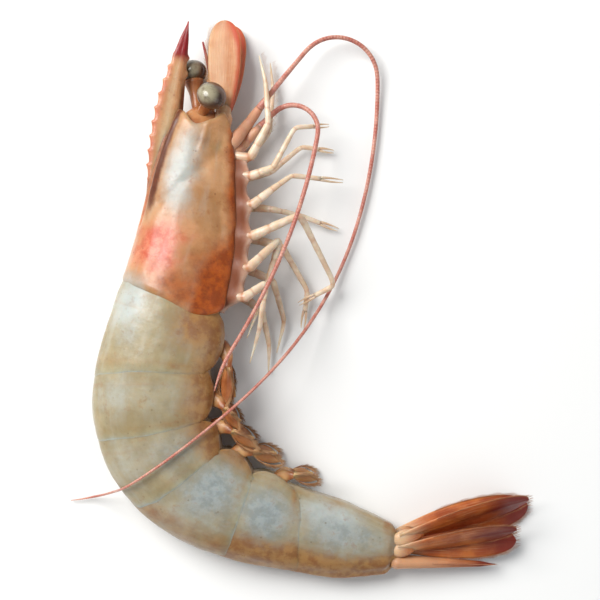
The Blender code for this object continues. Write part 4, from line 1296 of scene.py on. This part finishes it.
def build_breast(looks):
    """The pinkish band under the head shell, swollen where each leg leaves it."""
    first, last = BREAST_TURNS
    turns = np.linspace(first + 6, last, BREAST_SIDES)
    places = np.linspace(BREAST_START, BREAST_END, BREAST_RINGS)[:, None]
    t = (places - BREAST_START) / (BREAST_END - BREAST_START)
    along = 0.3 + 0.7 * np.sin(math.pi * t) ** 0.5
    across = 0.35 + 0.65 * np.cos((turns - (first + last) / 2) / (last - first) * math.pi)
    across = across * fade(turns, 126, 144)
    swell = sum(hump(places, row[2], 2.1) for row in WALKING_LEGS if row[1] > 0)
    bulge = BREAST_DEPTH * along * across * (0.70 + 0.42 * swell)
    grow = 0.2 + BREAST_CLEARANCE * fade(turns, 128, 146) + bulge
    grow = grow + 0.15 * bumps(places, turns[None], 2.5, 14.0) + 1.1 * swell * hump(turns, 145, 7)
    end = fade(places, BREAST_END - 3.6, BREAST_END)
    outer = body_points(places, turns, grow * (1 - end) - end, HEAD_GROOVE)
    outer[..., 2] = np.maximum(outer[..., 2], LOWEST_LIMB)
    inner = body_points(places, turns, -0.25 - end, HEAD_GROOVE)
    rings = np.concatenate([inner, outer[:, ::-1]], axis=1)
    warm = np.clip(0.45 - 0.5 * swell + 0.9 * fade(turns, 146, 136), 0, 1)
    warm = np.concatenate([np.full(warm.shape, 0.9), warm[:, ::-1]], axis=1)
    bag = Bag()
    bag.add_rings(rings, spots_of(places, np.concatenate([turns, turns[::-1]]) / 20), tints_of(warm))
    bag.make("breast_band", [looks["breast"]], ["breast"], "walking_leg")


def leg_corners(side, place, links):
    """The corners of a leg, from the breast to its tip."""
    start = body_points(place, LEG_TURNS[side], LEG_CLEARANCE, HEAD_GROOVE)
    _, back, _ = directions_at(place)
    corners = [start, start - back * LEG_STUB]
    for length, angle, height in links:
        last = corners[-1]
        run = math.sqrt(max(length**2 - (height - last[2]) ** 2, 1.0))
        corners.append(np.array((*(last + level_way(math.radians(angle)) * run)[:2], height)))
    return corners


def add_claw(bag, palm, ankle, end, width):
    """Two slim fingers side by side."""
    out = np.cross(unit(end - ankle), UP)
    t = np.linspace(0, 1, 9)
    widths = width * np.interp(t, (0, 0.3, 1), (0.28, 0.24, 0.07))
    apart = width * (0.12 + 0.07 * np.sin(math.pi * t * 0.9))[:, None]
    for lean in (-1, 1):
        finger = palm + (end - palm) * t[:, None] + out * lean * apart
        add_tube(bag, finger, widths, 8, 1.0, tints_of(0.3))


def add_mouth_hairs(bag, knee, ankle, end):
    """Fine bristles along the two outer joints of a mouth leg."""
    way = unit(end - knee)
    out = np.cross(way, UP)
    bend = 0.625
    for i in range(MOUTH_HAIRS):
        t = i / (MOUTH_HAIRS - 1)
        spot = knee + (ankle - knee) * t / bend
        if t > bend:
            spot = ankle + (end - ankle) * (t - bend) / (1 - bend)
        length = 1.1 + 0.3 * math.sin(i * 5.1)
        add_hair(bag, spot + out * 0.4, out + way * 0.6, length, MOUTH_HAIR_WIDTH, way * 0.1)


def build_legs(looks):
    for name, side, place, width, links in WALKING_LEGS:
        start, coxa, knee, ankle, end = leg_corners(side, place, links)
        root = start + unit(centre_at(place) - start) * LEG_SINK
        ischium = coxa + (knee - coxa) * ISCHIUM_SHARE + UP * 0.25
        carpus = knee + (ankle - knee) * CARPUS_SHARE + UP * 0.2
        palm = ankle + (end - ankle) * PALM_SHARE
        claw = name in CLAWED
        stops = (root, coxa, ischium, knee, carpus, ankle, palm if claw else end)
        spans = (*LINK_SPANS, PALM_SPAN if claw else TIP_SPAN)
        # Each joint is narrow at both ends and fullest near its start.
        line, widths, warm = [], [], []
        for number, (first, last) in enumerate(spans):
            a, b = stops[number : number + 2]
            t = np.linspace(0, 1, 11)[: 11 if number == len(spans) - 1 else 10]
            line.append(a + (b - a) * t[:, None])
            widths.append(width * (first + (last - first) * t) * np.interp(t, *LINK_SHAPE))
            warm.append(0.5 * hump(t, 0, 0.08) + 0.5 * hump(t, 1, 0.08))
        line = np.concatenate(line)
        for _ in range(5):
            line[1:-1] = line[1:-1] * 0.6 + (line[:-2] + line[2:]) * 0.2
        warm = np.concatenate(warm) + 0.45 * fade(distances_along(line), 7.5, 5.0)
        bag = Bag()
        add_tube(bag, line, np.concatenate(widths), 12, 0.85, tints_of(warm))
        if claw:
            add_claw(bag, palm, ankle, end, width)
        if name == "maxilliped":
            add_mouth_hairs(bag, knee, ankle, end)
        tag = "right" if side > 0 else "left"
        kind = "mouth_leg" if name == "maxilliped" else "walking_" + name
        bag.make(f"{kind}_{tag}", [looks["leg"], looks["hair"]], [f"{name}_{tag}"], "walking_leg")


def paddle_width(full):
    def half(t):
        swell = np.sin(math.pi * np.minimum(0.12 + t * 0.80, 1.0))
        return full / 2 * (0.30 + 0.70 * swell) * np.clip(1 - t**6, 0, None) ** 0.5

    return half


def paddle_tints(amount):
    def tints(t, w):
        warm = amount + 0.35 * fade(t, 0.3, 0.0) + 0.35 * fade(t, 0.5, 1.0)
        return tints_of(warm, dark=0.45 * hump(w, 0.15, 0.25) * (1 - t))

    return tints


def build_paddle(number, side, tag, looks):
    """A swimming leg: a thick stem from under the tail shell, and two leaves with bristles."""
    place = segment_places()[number : number + 2].mean()
    tail, back, right = directions_at(place)
    start = body_points(place, 180 - 24 * side, GAP + 0.4, belly_groove(number))
    step = PADDLE_LENGTHS[number] * (1.0 if side > 0 else 0.9) / PADDLE_STEPS
    opening = math.radians(PADDLE_OPENINGS[number] + (0 if side > 0 else 4))
    line = [start]
    for t in np.arange(1, PADDLE_STEPS + 1) / PADDLE_STEPS:
        angle = opening + math.radians(35) * (1 - t) ** 4 - math.radians(8) * t
        way = tail * math.cos(angle) - back * math.sin(angle)
        line.append(line[-1] + step * way + right * 0.1 * side)
    low = right * side
    sunk = [start + back * 3.0 - low * 2.4, start + back * 0.8 - low * 2.3, line[1] - low * 1.5]
    stem = smooth_line(np.array([*sunk, line[2] - low * 0.5, line[3]]), 3)
    at = np.linspace(0, 1, len(stem))
    warm = 0.55 * hump(at, 0.55, 0.25) + 0.15 * (number > 2)
    bag = Bag()
    tints = tints_of(warm, dark=0.45 * hump(at, 0.90, 0.05))
    add_tube(bag, stem, np.interp(at, *STEM_WIDTHS), 18, 0.62, tints)
    root = line[3] - (line[3] - line[2]) * 0.4
    way = line[-1] - root
    reach = float(np.linalg.norm(way))
    out = unit(np.cross(way, right))
    for lean, size, tilt, warmth in PADDLE_LEAVES:
        flat = -back * tilt + right * side * (1 - tilt * 0.5)
        half = paddle_width(PADDLE_WIDTH * (0.76 if number < 4 else 0.62) * size)
        tints = paddle_tints(warmth + 0.10 * number)
        along = way / reach + out * lean * side
        leaf = add_leaf(bag, root, along, flat, reach * size, half, 0.5, 0.30, ((0.15, 0.12),), tints, -0.6)
        add_fringe(bag, leaf, reach * size, half, (-1, 1), -0.25, 1.3, 60, 0.10)
    name = f"swimmeret_{number + 1}_{tag}"
    bag.make(f"{name}_paddle", [looks["paddle"], looks["hair"]], [name], "swimming_leg")


# Camera, light and floor


def link(thing):
    bpy.context.scene.collection.objects.link(thing)
    return thing


def build_floor():
    mesh = bpy.data.meshes.new("floor")
    around = ((-1, -1), (1, -1), (1, 1), (-1, 1))
    corners = [(x * FLOOR_REACH, y * FLOOR_REACH, FLOOR_HEIGHT) for x, y in around]
    mesh.from_pydata(corners, [], [(0, 1, 2, 3)])
    floor = link(bpy.data.objects.new("floor", mesh))
    look = Look("pale_floor")
    colour = look.blend(*FLOOR_COLOURS, look.noise(3.0, 2.0), 0.3, 0.7)
    look.put(look.shader.inputs["Base Color"], colour)
    look.shader.inputs["Roughness"].default_value = 0.6
    mesh.materials.append(look.material)


def build_studio():
    build_floor()
    for name, (place, size, power, colour) in LIGHTS.items():
        data = bpy.data.lights.new(name, "AREA")
        data.shape, data.size, data.energy, data.color = "DISK", size, power, colour
        light = link(bpy.data.objects.new(name, data))
        light.location = place
        light.rotation_euler = (-Vector(place)).to_track_quat("-Z", "Y").to_euler()
    world = bpy.data.worlds.new("room")
    bpy.context.scene.world = world
    world.use_nodes = True
    world.node_tree.nodes["Background"].inputs["Color"].default_value = ROOM_COLOUR
    world.node_tree.nodes["Background"].inputs["Strength"].default_value = ROOM_LIGHT
    data = bpy.data.cameras.new("camera")
    data.lens = CAMERA_LENS
    camera = link(bpy.data.objects.new("camera", data))
    camera.location = (0.0, 0.0, CAMERA_HEIGHT)
    bpy.context.scene.camera = camera
    bpy.context.scene.view_settings.view_transform = "Standard"


looks = make_looks()
build_head(looks)
for number in range(len(SEGMENT_LENGTHS)):
    build_segment(number, looks)
build_eyes(looks)
build_tail(looks)
build_scales(looks)
build_inner_feelers(looks)
build_long_feelers(looks)
build_breast(looks)
build_legs(looks)
for number in range(len(PADDLE_LENGTHS)):
    for side, tag in ((1, "right"), (-1, "left")):
        build_paddle(number, side, tag, looks)
build_studio()
